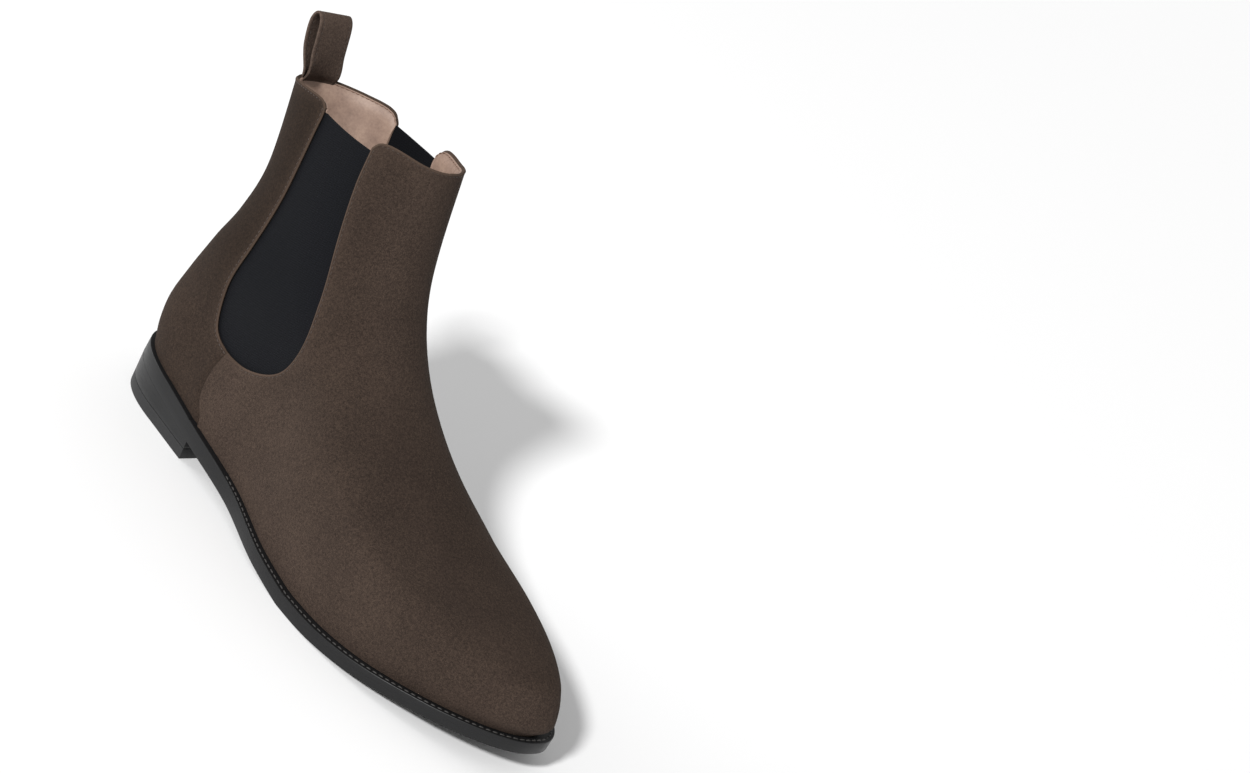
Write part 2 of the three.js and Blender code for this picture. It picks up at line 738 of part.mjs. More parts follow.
// A nail with its head up, or its hole when grown by a gap.
function heelNail(x, y, grown) {
  const point = TOP_PIECE + GAP + HEEL_NAIL_TIP;
  const shaft = rod(NAIL_RADIUS + grown, point - grown, nailTop(x), x, y);
  const headLow = nailTop(x) - NAIL_HEAD_THICKNESS;
  return shaft.add(rod(NAIL_HEAD_RADIUS + grown, headLow - grown, nailTop(x) + grown, x, y));
}
// A nail with its head down in the top piece, or its hole when grown by a gap.
function topNail(x, y, grown) {
  const headTop = TOP_NAIL_SINK + NAIL_HEAD_THICKNESS;
  const headLow = grown > 0 ? -PAST : TOP_NAIL_SINK;
  const shaft = rod(NAIL_RADIUS + grown, headTop - PAST / 2, TOP_NAIL_LENGTH + grown, x, y);
  return shaft.add(rod(NAIL_HEAD_RADIUS + grown, headLow, headTop + grown, x, y));
}
const drilled = (made, nails) => nails.reduce((left, nail) => left.subtract(nail), made);
const heelNailHoles = HEEL_NAILS.map(([x, y]) => heelNail(x, y, GAP));
const topNailHoles = TOP_NAILS.map(([x, y]) => topNail(x, y, GAP));

const outsole = plate(widthOfWelt, outsoleUnderside, outsoleTop);
piece("outsole", drilled(outsole, heelNailHoles), BLACK_LEATHER_LOOK);
const filler = lowFiller.add(highFiller).subtract(groove);
piece("cork_filler", drilled(filler, heelNailHoles), CORK_LOOK);
for (let i = 0; i < HEEL_LIFTS; i++) {
  const lift = heelSlice(i / HEEL_LIFTS, (i + 1) / HEEL_LIFTS);
  piece(`heel_lift_${i + 1}`, drilled(lift, [...heelNailHoles, ...topNailHoles]), BLACK_LEATHER_LOOK);
}
piece("top_piece", drilled(topPiece, topNailHoles), RUBBER_LOOK);
HEEL_NAILS.forEach(([x, y], i) => piece(`heel_nail_${i + 1}`, heelNail(x, y, 0), STEEL_LOOK));
TOP_NAILS.forEach(([x, y], i) => piece(`top_piece_nail_${i + 1}`, topNail(x, y, 0), BRASS_LOOK));

export default group;
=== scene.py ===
"""Right chelsea boot in brown suede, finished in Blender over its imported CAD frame."""
import math

import bpy
import numpy as np
from mathutils import Matrix, Vector


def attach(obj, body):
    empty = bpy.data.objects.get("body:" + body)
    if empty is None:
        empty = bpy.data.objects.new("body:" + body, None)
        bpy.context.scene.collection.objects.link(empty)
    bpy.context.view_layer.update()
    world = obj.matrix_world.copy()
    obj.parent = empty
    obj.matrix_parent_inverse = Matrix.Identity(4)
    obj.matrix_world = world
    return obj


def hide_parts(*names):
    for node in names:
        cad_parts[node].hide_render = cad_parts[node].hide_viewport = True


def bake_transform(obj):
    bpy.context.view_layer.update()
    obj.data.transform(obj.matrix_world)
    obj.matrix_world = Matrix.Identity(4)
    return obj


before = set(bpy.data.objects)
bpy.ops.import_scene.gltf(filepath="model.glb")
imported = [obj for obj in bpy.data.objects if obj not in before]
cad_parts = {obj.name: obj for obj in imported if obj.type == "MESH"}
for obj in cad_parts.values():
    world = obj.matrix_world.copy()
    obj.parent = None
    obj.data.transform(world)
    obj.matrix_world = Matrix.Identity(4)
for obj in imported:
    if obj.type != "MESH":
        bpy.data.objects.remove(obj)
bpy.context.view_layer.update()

MM = 0.001

# ---- The last, with the same driving sizes and outlines as the CAD model, in millimetres ----
OUTSOLE = 3.8
WELT = 2.5
RAND = 4.3
HEEL_HEIGHT = 17.6
TOE_SPRING = 15
TOP_PIECE = 6
HEEL_BREAST = 39
HEEL_TAPER = 1.2
WELT_END = 33
TOE_FLARE = 7
FLARE_ALONG = (190, 255)
FLARE_ROUND = (-0.1, 0.6)
GAP = 0.3
SUEDE = 1.3
LINING = 0.9
WALL = 3.8  # suede, elastic and lining together, with their gaps
INSOLE = 2.6
SOCK = 1.0

# share of the way up, place along the foot and height over the feather line
FRONT_LINE = [
    (0, 264, 0), (0.05, 269, 8.5), (0.1, 260, 24), (0.18, 238, 31.5), (0.27, 200, 38.5),
    (0.39, 157, 55), (0.5, 121, 76.5), (0.62, 96.5, 101), (0.75, 82.5, 126.5), (1, 67, 183),
]
BACK_LINE = [
    (0, -31, 0), (0.06, -34, 10.5), (0.14, -35.5, 23.5), (0.28, -33.5, 41.5),
    (0.42, -28, 63.5), (0.57, -22, 86), (0.75, -21.5, 115), (1, -35.5, 166),
]
# shares of the heel height and of the toe spring, along the foot
HEEL_PITCH = [(-45, 1.03), (-31, 1), (0, 0.88), (35, 0.63), (90, 0.27), (145, 0)]
SPRING_CURVE = [(145, 0), (180, 0.09), (220, 0.42), (264, 0.86), (285, 1)]
# half widths along the foot, and how they change up the side
OUTSIDE = [
    (-40, 27), (0, 28), (40, 31.5), (80, 34), (120, 44), (160, 48), (190, 45), (225, 38), (265, 29),
]
INSIDE = [
    (-40, 30), (0, 30), (40, 27), (80, 25.5), (120, 31.5), (160, 38.5), (190, 39), (225, 37), (265, 29),
]
TOE_SWING = 5
BULGE = [(0, 1), (0.06, 1.05), (0.14, 1.06), (0.24, 1.02), (0.38, 0.98), (0.57, 0.95), (1, 0.95)]
SHAFT_HALF_WIDTH = [(0, 38), (0.28, 36.5), (0.42, 36), (0.57, 34), (0.75, 33.5), (1, 32)]
SHAFT_BLEND = (0.21, 0.585)
# how far from its ends the plan is rounded, up the boot
FRONT_NOSE = [(0, 80), (0.1, 72), (0.27, 63), (0.39, 66), (0.57, 62), (0.75, 56), (1, 54)]
BACK_NOSE = [(0, 38), (0.14, 37), (0.28, 40), (0.42, 44), (0.57, 48), (0.75, 52), (1, 52)]
NOSE_POWER = 2.15
WELT_WIDTH = [
    (-40, 2), (0, 2.4), (60, 3.2), (100, 4), (150, 5), (200, 5), (240, 4.5), (280, 4.8),
]
SPINE = (-7, 224)

# outlines in side view
GORE_REAR = [(11.2, 187.2), (12.5, 180), (15.3, 141), (14.5, 108), (12.5, 82), (17.5, 64), (31, 59.5)]
GORE_FRONT = [(31, 59.5), (50, 62.5), (66, 74), (70.5, 92), (64, 115), (54, 144), (47, 169), (43.8, 188)]
INSIDE_LEAN = 8
SEAM = [(37, 23), (30.5, 32), (29, 46), (31, 59.5)]
TOP_BACK_OUTSIDE = [(-45, 181), (-31, 181), (-14, 185.5), (3, 189.2), (8.4, 189.2), (11.2, 187.2)]
TOP_BACK_INSIDE = [(-45, 181), (-31, 181), (-17, 182.8), (-5, 184.6), (0.4, 184), (3.2, 181.6)]
TOP_FRONT_OUTSIDE = [(43.8, 188), (45.8, 191.8), (50, 193.8), (57, 194.4), (66, 193.8), (90, 193.8)]
TOP_FRONT_INSIDE = [(34.8, 183.6), (36.8, 187.2), (41, 189.5), (54, 191), (66, 193.8), (90, 193.8)]


def through(knots, at):
    """A smooth curve through knots, as many columns as each knot has after its first value."""
    k = np.array(knots, float)
    t, p = k[:, 0], k[:, 1:]
    low, high = np.r_[0, np.arange(len(t) - 1)], np.r_[np.arange(1, len(t)), len(t) - 1]
    slope = (p[high] - p[low]) / (t[high] - t[low])[:, None]
    s = np.clip(np.asarray(at, float), t[0], t[-1])
    i = np.clip(np.searchsorted(t, s, side="right") - 1, 0, len(t) - 2)
    span = (t[i + 1] - t[i])[..., None]
    u = (s - t[i])[..., None] / span
    curve = (1 + 2 * u) * (1 - u) ** 2 * p[i] + u * u * (3 - 2 * u) * p[i + 1]
    curve = curve + span * (u * (1 - u) ** 2 * slope[i] + u * u * (u - 1) * slope[i + 1])
    return curve[..., 0] if p.shape[1] == 1 else curve


def run_of(points):
    """How far along a line each of its points lies."""
    return np.r_[0, np.cumsum(np.linalg.norm(np.diff(points, axis=0), axis=1))]


def sampled(places, run, values):
    """Columns of values, known along a run, read at other places on it."""
    return np.column_stack([np.interp(places, run, column) for column in values.T])


def hump(x, at, width):
    """One at a place, falling away smoothly to nothing over about twice the width."""
    return np.exp(-(((x - at) / width) ** 2))


def ease(low, high, x):
    """From 0 at the low end to 1 at the high end, smoothly."""
    t = np.clip((np.asarray(x, float) - low) / (high - low), 0, 1)
    return t * t * (3 - 2 * t)


def outsole_underside(x):
    """Its height over the ground along the foot: up over the heel, down at the ball, up at the toe."""
    behind = HEEL_HEIGHT * through(HEEL_PITCH, x)
    return np.where(np.asarray(x) > SPRING_CURVE[0][0], TOE_SPRING * through(SPRING_CURVE, x), behind)


def outsole_top(x):
    return outsole_underside(x) + OUTSOLE


def welt_top(x):
    return outsole_top(x) + GAP + RAND + (WELT - RAND) * ease(40, 130, x)


def feather_height(x):
    """The line where the upper meets the welt."""
    return welt_top(x) + GAP


def last_point(share, angle):
    """The upper's outer surface: share up from the feather line, angle round from the heel."""
    share, angle = np.broadcast_arrays(np.asarray(share, float), np.asarray(angle, float))
    t = (1 - np.cos(angle)) / 2
    side = np.where(np.sin(angle) < 0, -1.0, 1.0)
    front, back = through(FRONT_LINE, share), through(BACK_LINE, share)
    heel_x, toe_x = BACK_LINE[0][1], FRONT_LINE[0][1]
    heel_z, toe_z = feather_height(heel_x), feather_height(toe_x)
    x = back[..., 0] + (front[..., 0] - back[..., 0]) * t
    straight = heel_z + (toe_z - heel_z) * np.clip((x - heel_x) / (toe_x - heel_x), 0, 1)
    fade = np.clip(1 - share / 0.33, 0, 1) ** 2
    back_z, front_z = heel_z + back[..., 1], toe_z + front[..., 1]
    z = back_z + (front_z - back_z) * t + (feather_height(x) - straight) * fade
    length = np.hypot(front[..., 0] - back[..., 0], front_z - back_z)

    def rounded(knots, distance):
        nose = np.minimum(through(knots, share), length / 2)
        left = np.clip(1 - distance / nose, 0, 1)
        return (1 - left**NOSE_POWER) ** (1 / NOSE_POWER)

    shaft = ease(*SHAFT_BLEND, share)
    foot = np.where(side < 0, through(OUTSIDE, x), through(INSIDE, x)) * through(BULGE, share)
    half = foot + (through(SHAFT_HALF_WIDTH, share) - foot) * shaft
    swing = TOE_SWING * np.clip(x / toe_x, 0, 1.2) ** 2 * (1 - shaft)
    ends = rounded(FRONT_NOSE, (1 - t) * length) * rounded(BACK_NOSE, t * length)
    return np.stack([x, swing + side * (half - side * swing) * ends, z], -1)


def outward(share, angle):
    """The outer surface's normal."""
    step = 0.006
    share = np.asarray(share, float)
    around = last_point(share, angle + step) - last_point(share, angle - step)
    up = last_point(share + step, angle) - last_point(np.maximum(share - step, 0), angle)
    normal = np.cross(up, around)
    normal /= np.linalg.norm(normal, axis=-1, keepdims=True) + 1e-12
    return normal


def on_last(share, angle, depth=0.0):
    """A point set in by a depth from the outer surface, square to it."""
    return last_point(share, angle) - outward(share, angle) * np.asarray(depth, float)[..., None]


def spine_middle(x):
    """Where the middle of the sole lies across the foot."""
    return (through(INSIDE, x) - through(OUTSIDE, x)) / 2


def turn_of(angle):
    """The same angle counted between 0 and a full turn."""
    return np.mod(angle, 2 * math.pi)


def plan_point(angle, inset, height):
    """The feather line moved towards the spine of the sole by an inset, at a height of x."""
    edge = last_point(0, angle)
    flare = TOE_FLARE * ease(*FLARE_ALONG, edge[..., 0]) * ease(*FLARE_ROUND, math.pi - turn_of(angle))
    inset = np.where(np.asarray(inset) < 0, inset - flare, inset)
    spine_x = np.clip(edge[..., 0], *SPINE)
    spine = np.stack([spine_x, spine_middle(spine_x), edge[..., 2]], -1)
    reach = np.linalg.norm(spine - edge, axis=-1)
    share = np.minimum(inset / reach, 1)[..., None]
    point = edge + (spine - edge) * share
    point[..., 2] = height(point[..., 0])
    return point


def find_on_last(outline, side):
    """The share and angle at which the last passes through each side-view point of an outline."""
    target = np.array(outline, float)
    shape = target.shape[:-1]
    target = target.reshape(-1, 2)
    shares, turns = np.meshgrid(np.linspace(0, 1, 41), np.linspace(0.02, math.pi - 0.02, 81), indexing="ij")
    net = last_point(shares, side * turns)[..., [0, 2]].reshape(-1, 2)
    nearest = np.argmin(((target[:, None] - net[None]) ** 2).sum(-1), axis=1)
    share, turn = shares.flat[nearest], turns.flat[nearest]
    step = 1e-4

    def side_view(a, b):
        return last_point(a, side * b)[..., [0, 2]]

    for _ in range(9):
        here = side_view(share, turn)
        by_share = (side_view(share + step, turn) - here) / step
        by_turn = (side_view(share, turn + step) - here) / step
        off = target - here
        area = by_share[:, 0] * by_turn[:, 1] - by_share[:, 1] * by_turn[:, 0]
        area = np.where(np.abs(area) < 1e-6, 1e-6, area)
        move_share = (off[:, 0] * by_turn[:, 1] - off[:, 1] * by_turn[:, 0]) / area
        move_turn = (by_share[:, 0] * off[:, 1] - by_share[:, 1] * off[:, 0]) / area
        share = np.clip(share + np.clip(move_share, -0.05, 0.05), 0, 1)
        turn = np.clip(turn + np.clip(move_turn, -0.05, 0.05), 0.01, math.pi - 0.01)
    return share.reshape(shape), side * turn.reshape(shape)


def smooth_line(points, count):
    """An even run of points on a smooth curve through a few."""
    points = np.array(points, float)
    length = run_of(points)
    dense = through(np.column_stack([length, points]), np.linspace(0, length[-1], 400))
    run = run_of(dense)
    return sampled(np.linspace(0, run[-1], count), run, dense)


def leaned(points, side):
    """The window on the inside of the foot leans back towards its top."""
    if side < 0:
        return list(points)
    return [(x - INSIDE_LEAN * min(max((z - 65) / 115, 0), 1.2), z) for x, z in points]


def top_share(outline, side):
    """The share at which the upper is cut to its top edge, as a function of the angle, on one side."""
    edge = smooth_line(outline, 200)
    turns = np.linspace(0, math.pi, 401)
    low, high = np.full(turns.shape, 0.6), np.full(turns.shape, 1.0)
    for _ in range(24):
        middle = (low + high) / 2
        point = last_point(middle, side * np.clip(turns, 1e-4, math.pi - 1e-4))
        over = point[..., 2] > np.interp(point[..., 0], edge[:, 0], edge[:, 1])
        low, high = np.where(over, low, middle), np.where(over, middle, high)
    shares = (low + high) / 2
    return lambda angle: np.interp(np.arccos(np.cos(angle)), turns, shares)


TOP_OF_FRONT = top_share(TOP_FRONT_OUTSIDE, -1), top_share(TOP_FRONT_INSIDE, 1)
TOP_OF_BACK = top_share(TOP_BACK_OUTSIDE, -1), top_share(TOP_BACK_INSIDE, 1)


def top_at(tops, angle):
    """The share of the top edge all round, from its outer side and its inner one."""
    return np.where(np.sin(angle) < 0, tops[0](angle), tops[1](angle))


def placed(name, data):
    """A new object in the scene."""
    item = bpy.data.objects.new(name, data)
    bpy.context.scene.collection.objects.link(item)
    return item


# ---- Camera ----
def camera():
    """A long lens on a tripod, tipped on its side a little, so that the boot stands on its toe."""
    azimuth, height, roll = math.radians(30.1), math.radians(21.0), math.radians(32.6)
    level = math.cos(height)
    towards = Vector((math.sin(azimuth) * level, -math.cos(azimuth) * level, math.sin(height)))
    right = Vector((math.cos(azimuth), math.sin(azimuth), 0))
    up = towards.cross(right)
    turned = math.cos(roll) * right + math.sin(roll) * up
    over = towards.cross(turned)
    data = bpy.data.cameras.new("studio_camera")
    data.sensor_width = 36
    data.lens = 75.27
    data.clip_start, data.clip_end = 0.05, 20
    item = placed("studio_camera", data)
    axes = Matrix((turned, over, towards)).transposed().to_4x4()
    item.matrix_world = Matrix.Translation((0.7477, -0.9296, 0.5907)) @ axes
    bpy.context.scene.camera = item


camera()


# ---- Materials ----
def linear(code):
    """A linear colour from an sRGB hex value."""
    values = [int(code[i : i + 2], 16) / 255 for i in (0, 2, 4)]
    return [v / 12.92 if v <= 0.04045 else ((v + 0.055) / 1.055) ** 2.4 for v in values] + [1]


def plug(tree, node, sockets):
    """Sets a node's sockets, each to a number, a colour, another node's output or a node's first output."""
    for key, value in sockets.items():
        if isinstance(value, bpy.types.Node):
            value = value.outputs[0]
        if isinstance(value, bpy.types.NodeSocket):
            tree.links.new(value, node.inputs[key])
        else:
            node.inputs[key].default_value = value


def add(tree, kind, sockets=None, stops=(), **settings):
    """Adds one node; a colour ramp also takes its stops, as places and sRGB hex values."""
    node = tree.nodes.new("ShaderNode" + kind)
    for key, value in settings.items():
        setattr(node, key, value)
    plug(tree, node, sockets or {})
    for number, (place, code) in enumerate(stops):
        if number >= len(node.color_ramp.elements):
            node.color_ramp.elements.new(1)
        node.color_ramp.elements[number].position = place
        node.color_ramp.elements[number].color = linear(code)
    return node


def per(size_mm):
    """The scale of a pattern whose lumps are this many millimetres across."""
    return 1 / (size_mm * MM)


def suede(tree, shader):
    """Cow suede, split and sanded: matt, its nap lying flat and dark or raised and lighter, with a fine
    speckle of fibre ends about half a millimetre apart, and rubbed paler along folded edges. Its dark
    and light tones are mixed partly by its own nap and partly by painted light and painted shade:
    lighter on faces turned to the front, which the key light barely reaches, and darker along the side
    seam."""
    where = add(tree, "TexCoord").outputs["Object"]
    patches, nap, speckle = (
        add(tree, "TexNoise", {"Vector": where, "Scale": per(size), "Detail": detail, "Roughness": rough})
        for size, detail, rough in ((28, 2, 0.5), (1.3, 3, 0.65), (0.5, 3, 0.75))
    )
    value = add(tree, "Math", {0: patches, 1: 0.1}, operation="MULTIPLY")
    value = add(tree, "Math", {0: nap, 1: 0.3, 2: value}, operation="MULTIPLY_ADD")
    value = add(tree, "Math", {0: speckle, 1: 0.6, 2: value}, operation="MULTIPLY_ADD")
    flat = add(tree, "ValToRGB", {"Fac": value}, [(0.4, "130e0a"), (0.5, "1f1712"), (0.6, "2c221a")])
    raised = add(tree, "ValToRGB", {"Fac": value}, [(0.4, "463a34"), (0.5, "5a4c44"), (0.6, "6d5d53")])
    # nap tone and painted light: this value also paints front faces lighter where the key light misses
    # them, and the seam edge darker
    nap_and_painted_light = add(tree, "Attribute", attribute_name="nap").outputs["Fac"]
    tone = add(tree, "Mix", {0: nap_and_painted_light, 6: flat, 7: raised}, data_type="RGBA").outputs[2]
    rubbed = add(tree, "Attribute", attribute_name="rubbed").outputs["Fac"]
    colour = add(tree, "Mix", {0: rubbed, 6: tone, 7: linear("55463c")}, data_type="RGBA").outputs[2]
    soft = add(tree, "Bump", {"Height": nap, "Distance": 0.1 * MM, "Strength": 0.45})
    fine = add(tree, "Bump", {"Height": speckle, "Distance": 0.12 * MM, "Strength": 0.9, "Normal": soft})
    plug(tree, shader, {"Base Color": colour, "Normal": fine, "Roughness": 0.95})
    plug(tree, shader, {"Specular IOR Level": 0.12, "Sheen Weight": 0.06, "Sheen Roughness": 0.5})
    plug(tree, shader, {"Sheen Tint": linear("8d7564")})


def elastic(tree, shader):
    """Woven elastic: rubber cores wrapped in dull yarn, in a fine twill whose two sets of ribs cross it
    less than a millimetre apart."""
    woven = add(tree, "UVMap", uv_map="weave")
    ribs = 1.0
    for degrees in (38, -52):
        turned = add(tree, "Mapping", {"Vector": woven, "Rotation": (0, 0, math.radians(degrees))})
        wave = {"Vector": turned, "Scale": WAVE * per(0.75), "Distortion": 0.6, "Detail": 1}
        wave = add(tree, "TexWave", wave).outputs["Fac"]
        ribs = add(tree, "Math", {0: wave, 1: ribs}, operation="MULTIPLY")
    where = add(tree, "TexCoord").outputs["Object"]
    fuzz = add(tree, "TexNoise", {"Vector": where, "Scale": per(0.35), "Detail": 2, "Roughness": 0.6})
    value = add(tree, "Math", {0: ribs, 1: 0.6}, operation="MULTIPLY")
    value = add(tree, "Math", {0: fuzz, 1: 0.4, 2: value}, operation="MULTIPLY_ADD")
    colour = add(tree, "ValToRGB", {"Fac": value}, [(0.1, "020305"), (0.4, "06070a"), (0.8, "14161f")])
    normal = add(tree, "Bump", {"Height": ribs, "Distance": 0.14 * MM, "Strength": 0.8})
    plug(tree, shader, {"Base Color": colour, "Normal": normal, "Roughness": 0.85})
    plug(tree, shader, {"Specular IOR Level": 0.14, "Sheen Weight": 0.02})


def lining_leather(tree, shader):
    """Calf lining, drum dyed: smooth with a fine pore and a low sheen, rosy tan with soft mottling."""
    where = add(tree, "TexCoord").outputs["Object"]
    mottle = add(tree, "TexNoise", {"Vector": where, "Scale": per(9), "Detail": 3, "Roughness": 0.55})
    fine = add(tree, "TexNoise", {"Vector": where, "Scale": per(1.2), "Detail": 3, "Roughness": 0.6})
    pores = add(tree, "TexVoronoi", {"Vector": where, "Scale": per(0.7)})
    value = add(tree, "Math", {0: mottle, 1: 0.65}, operation="MULTIPLY")
    value = add(tree, "Math", {0: fine, 1: 0.35, 2: value}, operation="MULTIPLY_ADD")
    colour = add(tree, "ValToRGB", {"Fac": value}, [(0.32, "826c60"), (0.5, "947c6e"), (0.68, "a58c7c")])
    normal = add(tree, "Bump", {"Height": pores, "Distance": 0.05 * MM, "Strength": 0.5})
    plug(tree, shader, {"Base Color": colour, "Normal": normal, "Roughness": 0.55})
    plug(tree, shader, {"Specular IOR Level": 0.4})


def burnished_edge(tree, shader):
    """Sole leather edge, inked, waxed and burnished: near black, with faint fibre lines along it."""
    where = add(tree, "TexCoord").outputs["Object"]
    layers = add(tree, "Mapping", {"Vector": where, "Scale": (1, 1, 9)})
    fibres = add(tree, "TexNoise", {"Vector": layers, "Scale": per(5), "Detail": 4, "Roughness": 0.6})
    pits = add(tree, "TexNoise", {"Vector": where, "Scale": per(0.8), "Detail": 3, "Roughness": 0.6})
    value = add(tree, "Math", {0: fibres, 1: 0.6}, operation="MULTIPLY")
    value = add(tree, "Math", {0: pits, 1: 0.4, 2: value}, operation="MULTIPLY_ADD")
    colour = add(tree, "ValToRGB", {"Fac": value}, [(0.3, "0a0a0b"), (0.55, "0f0f10"), (0.75, "171718")])
    span = {"Value": value, "From Min": 0.3, "From Max": 0.7, "To Min": 0.32, "To Max": 0.5}
    normal = add(tree, "Bump", {"Height": value, "Distance": 0.06 * MM, "Strength": 0.5})
    plug(tree, shader, {"Base Color": colour, "Normal": normal, "Roughness": add(tree, "MapRange", span)})
    plug(tree, shader, {"Specular IOR Level": 0.35})


def cork(tree, shader):
    """Cork paste: ground cork of 1 to 2 mm bound in wax."""
    where = add(tree, "TexCoord").outputs["Object"]
    crumbs = add(tree, "TexVoronoi", {"Vector": where, "Scale": per(1.6)})
    tone = add(tree, "SeparateColor", {"Color": crumbs.outputs["Color"]})
    colour = add(tree, "ValToRGB", {"Fac": tone}, [(0, "6b4827"), (0.5, "96703f"), (1, "b08a58")])
    normal = add(tree, "Bump", {"Height": crumbs, "Distance": 0.3 * MM, "Strength": 0.6})
    plug(tree, shader, {"Base Color": colour, "Normal": normal, "Roughness": 0.88})


def metal(code, line_mm, roughness):
    """Drawn or rolled metal, with the fine lines of its making."""

    def build(tree, shader):
        where = add(tree, "TexCoord").outputs["Object"]
        lines = {"Vector": where, "Scale": per(line_mm), "Detail": 3, "Roughness": 0.6}
        lines = add(tree, "TexNoise", lines)
        dull = {"Value": lines, "To Min": roughness - 0.06, "To Max": roughness + 0.1}
        normal = add(tree, "Bump", {"Height": lines, "Distance": 0.02 * MM, "Strength": 0.4})
        plug(tree, shader, {"Roughness": add(tree, "MapRange", dull), "Normal": normal})
        plug(tree, shader, {"Base Color": linear(code), "Metallic": 1})

    return build


def grained(grains, stops, dent, roughness, specular=0.5, sheen=0.0):
    """A plain finish of one or two grains, each with its lumps in millimetres, detail, roughness and
    weight; the dent has its depth in millimetres and its strength."""

    def build(tree, shader):
        where = add(tree, "TexCoord").outputs["Object"]
        value = 0.0
        for size, detail, rough, weight in grains:
            lumps = {"Vector": where, "Scale": per(size), "Detail": detail, "Roughness": rough}
            lumps = add(tree, "TexNoise", lumps)
            value = add(tree, "Math", {0: lumps, 1: weight, 2: value}, operation="MULTIPLY_ADD")
        colour = add(tree, "ValToRGB", {"Fac": value}, stops)
        normal = add(tree, "Bump", {"Height": value, "Distance": dent[0] * MM, "Strength": dent[1]})
        plug(tree, shader, {"Base Color": colour, "Normal": normal, "Roughness": roughness})
        plug(tree, shader, {"Specular IOR Level": specular, "Sheen Weight": sheen})

    return build


def finish_material(name, build):
    """A material whose build function is given its tree and shader."""
    material = bpy.data.materials.new(name)
    material.use_nodes = True
    build(material.node_tree, material.node_tree.nodes["Principled BSDF"])
    return material


WAVE = 0.314  # a wave of scale 1 repeats every 0.314 m
SUEDE_BROWN = finish_material("suede_brown", suede)
ELASTIC_BLACK = finish_material("woven_elastic", elastic)
LINING_ROSE = finish_material("lining_calf", lining_leather)
EDGE_BLACK = finish_material("burnished_sole_edge", burnished_edge)
CORK_PASTE = finish_material("cork_paste", cork)
SPRING_STEEL = finish_material("rolled_spring_steel", metal("a3a4a6", 1.2, 0.36))
NAIL_STEEL = finish_material("drawn_nail_steel", metal("9c9da0", 0.5, 0.4))
NAIL_BRASS = finish_material("drawn_brass", metal("b8934a", 0.5, 0.32))
# welting, vegetable tanned and dyed black: firm, slightly grained, with a waxy sheen
WELT_GRAIN = grained(
    [(0.9, 4, 0.65, 1)], [(0.3, "0a0a0b"), (0.6, "121213"), (0.8, "1c1c1d")], (0.07, 0.6), 0.6, 0.3
)
WELT_BLACK = finish_material("welt_leather", WELT_GRAIN)
# outsole bend, dyed black and rolled: smooth, with fine creases and a soft polish
BEND_GRAIN = grained(
    [(7, 5, 0.6, 0.6), (0.6, 3, 0.6, 0.4)],
    [(0.35, "151515"), (0.55, "1e1d1d"), (0.75, "2c2a29")],
    (0.08, 0.5),
    0.42,
)
OUTSOLE_BLACK = finish_material("outsole_bend", BEND_GRAIN)
# moulded heel rubber: black, matt, with a fine sandblasted grain
RUBBER_GRAIN = grained([(0.5, 2, 0.6, 1)], [(0.3, "111112"), (0.7, "1d1d1e")], (0.05, 0.6), 0.62)
RUBBER_BLACK = finish_material("heel_rubber", RUBBER_GRAIN)
# insole shoulder, vegetable tanned and undyed: pale tan, matt
TAN_GRAIN = grained(
    [(5, 4, 0.6, 1)], [(0.3, "9b6f45"), (0.6, "b98a5b"), (0.8, "c99c6e")], (0.1, 0.4), 0.65
)
INSOLE_TAN = finish_material("insole_shoulder", TAN_GRAIN)
# pressed fibreboard: pale, matt and faintly felted
FIBRE_GRAIN = grained([(1, 4, 0.7, 1)], [(0.3, "b5a37e"), (0.7, "d3c3a2")], (0.1, 0.5), 0.85)
FIBRE_PALE = finish_material("pressed_fibreboard", FIBRE_GRAIN)
# waxed polyester thread: a tight twist about 0.4 mm a turn, dull with a slight glint
TWIST, TWIST_DENT = [(0.4, 2, 0.6, 1)], (0.08, 0.7)
THREAD_BROWN, THREAD_ROSE, THREAD_BLACK = (
    finish_material(name, grained(TWIST, [(0.3, dark), (0.7, light)], TWIST_DENT, 0.6, 0.5, 0.1))
    for name, dark, light in (
        ("thread_brown", "2a1f18", "3e3027"),
        ("thread_rose", "6d4f40", "8f6f5e"),
        ("thread_black", "1c1a19", "3b3835"),
    )
)


# ---- Modelling ----
def deselect():
    """Leaves edit mode with nothing selected."""
    if bpy.context.object and bpy.context.object.mode != "OBJECT":
        bpy.ops.object.mode_set(mode="OBJECT")
    bpy.ops.object.select_all(action="DESELECT")


def pick(item):
    """Makes one piece the only one that operators act on."""
    deselect()
    item.select_set(True)
    bpy.context.view_layer.objects.active = item


def read(items, key, kind=np.int32, wide=1):
    """One value of every vertex or corner of a mesh."""
    values = np.empty(len(items) * wide, kind)
    items.foreach_get(key, values)
    return values


def put(item, points):
    """Moves every vertex of a mesh to its place, given in millimetres."""
    item.data.vertices.foreach_set("co", (np.asarray(points, float) * MM).astype(np.float32).ravel())
    item.data.update()


def grid(name, points):
    """A grid primitive whose vertices are laid on the rows of points, columns running along each row."""
    rows, columns = points.shape[:2]
    deselect()
    bpy.ops.mesh.primitive_grid_add(x_subdivisions=columns - 1, y_subdivisions=rows - 1, size=1)
    item = bpy.context.object
    item.name = item.data.name = name
    assert len(item.data.vertices) == rows * columns
    put(item, points.reshape(-1, 3))
    return item


def apply_modifier(item, kind, **settings):
    """Adds a modifier with its settings and applies it."""
    pick(item)
    modifier = item.modifiers.new(kind.lower(), kind)
    for key, value in settings.items():
        setattr(modifier, key, value)
    bpy.ops.object.modifier_apply(modifier=modifier.name)


def smooth(item, degrees=50):
    """Shades smooth, apart from edges sharper than an angle."""
    pick(item)
    bpy.ops.object.shade_smooth_by_angle(angle=math.radians(degrees))


def dress(item, *materials):
    """Gives a piece its materials in place of any that it has."""
    item.data.materials.clear()
    for material in materials:
        item.data.materials.append(material)


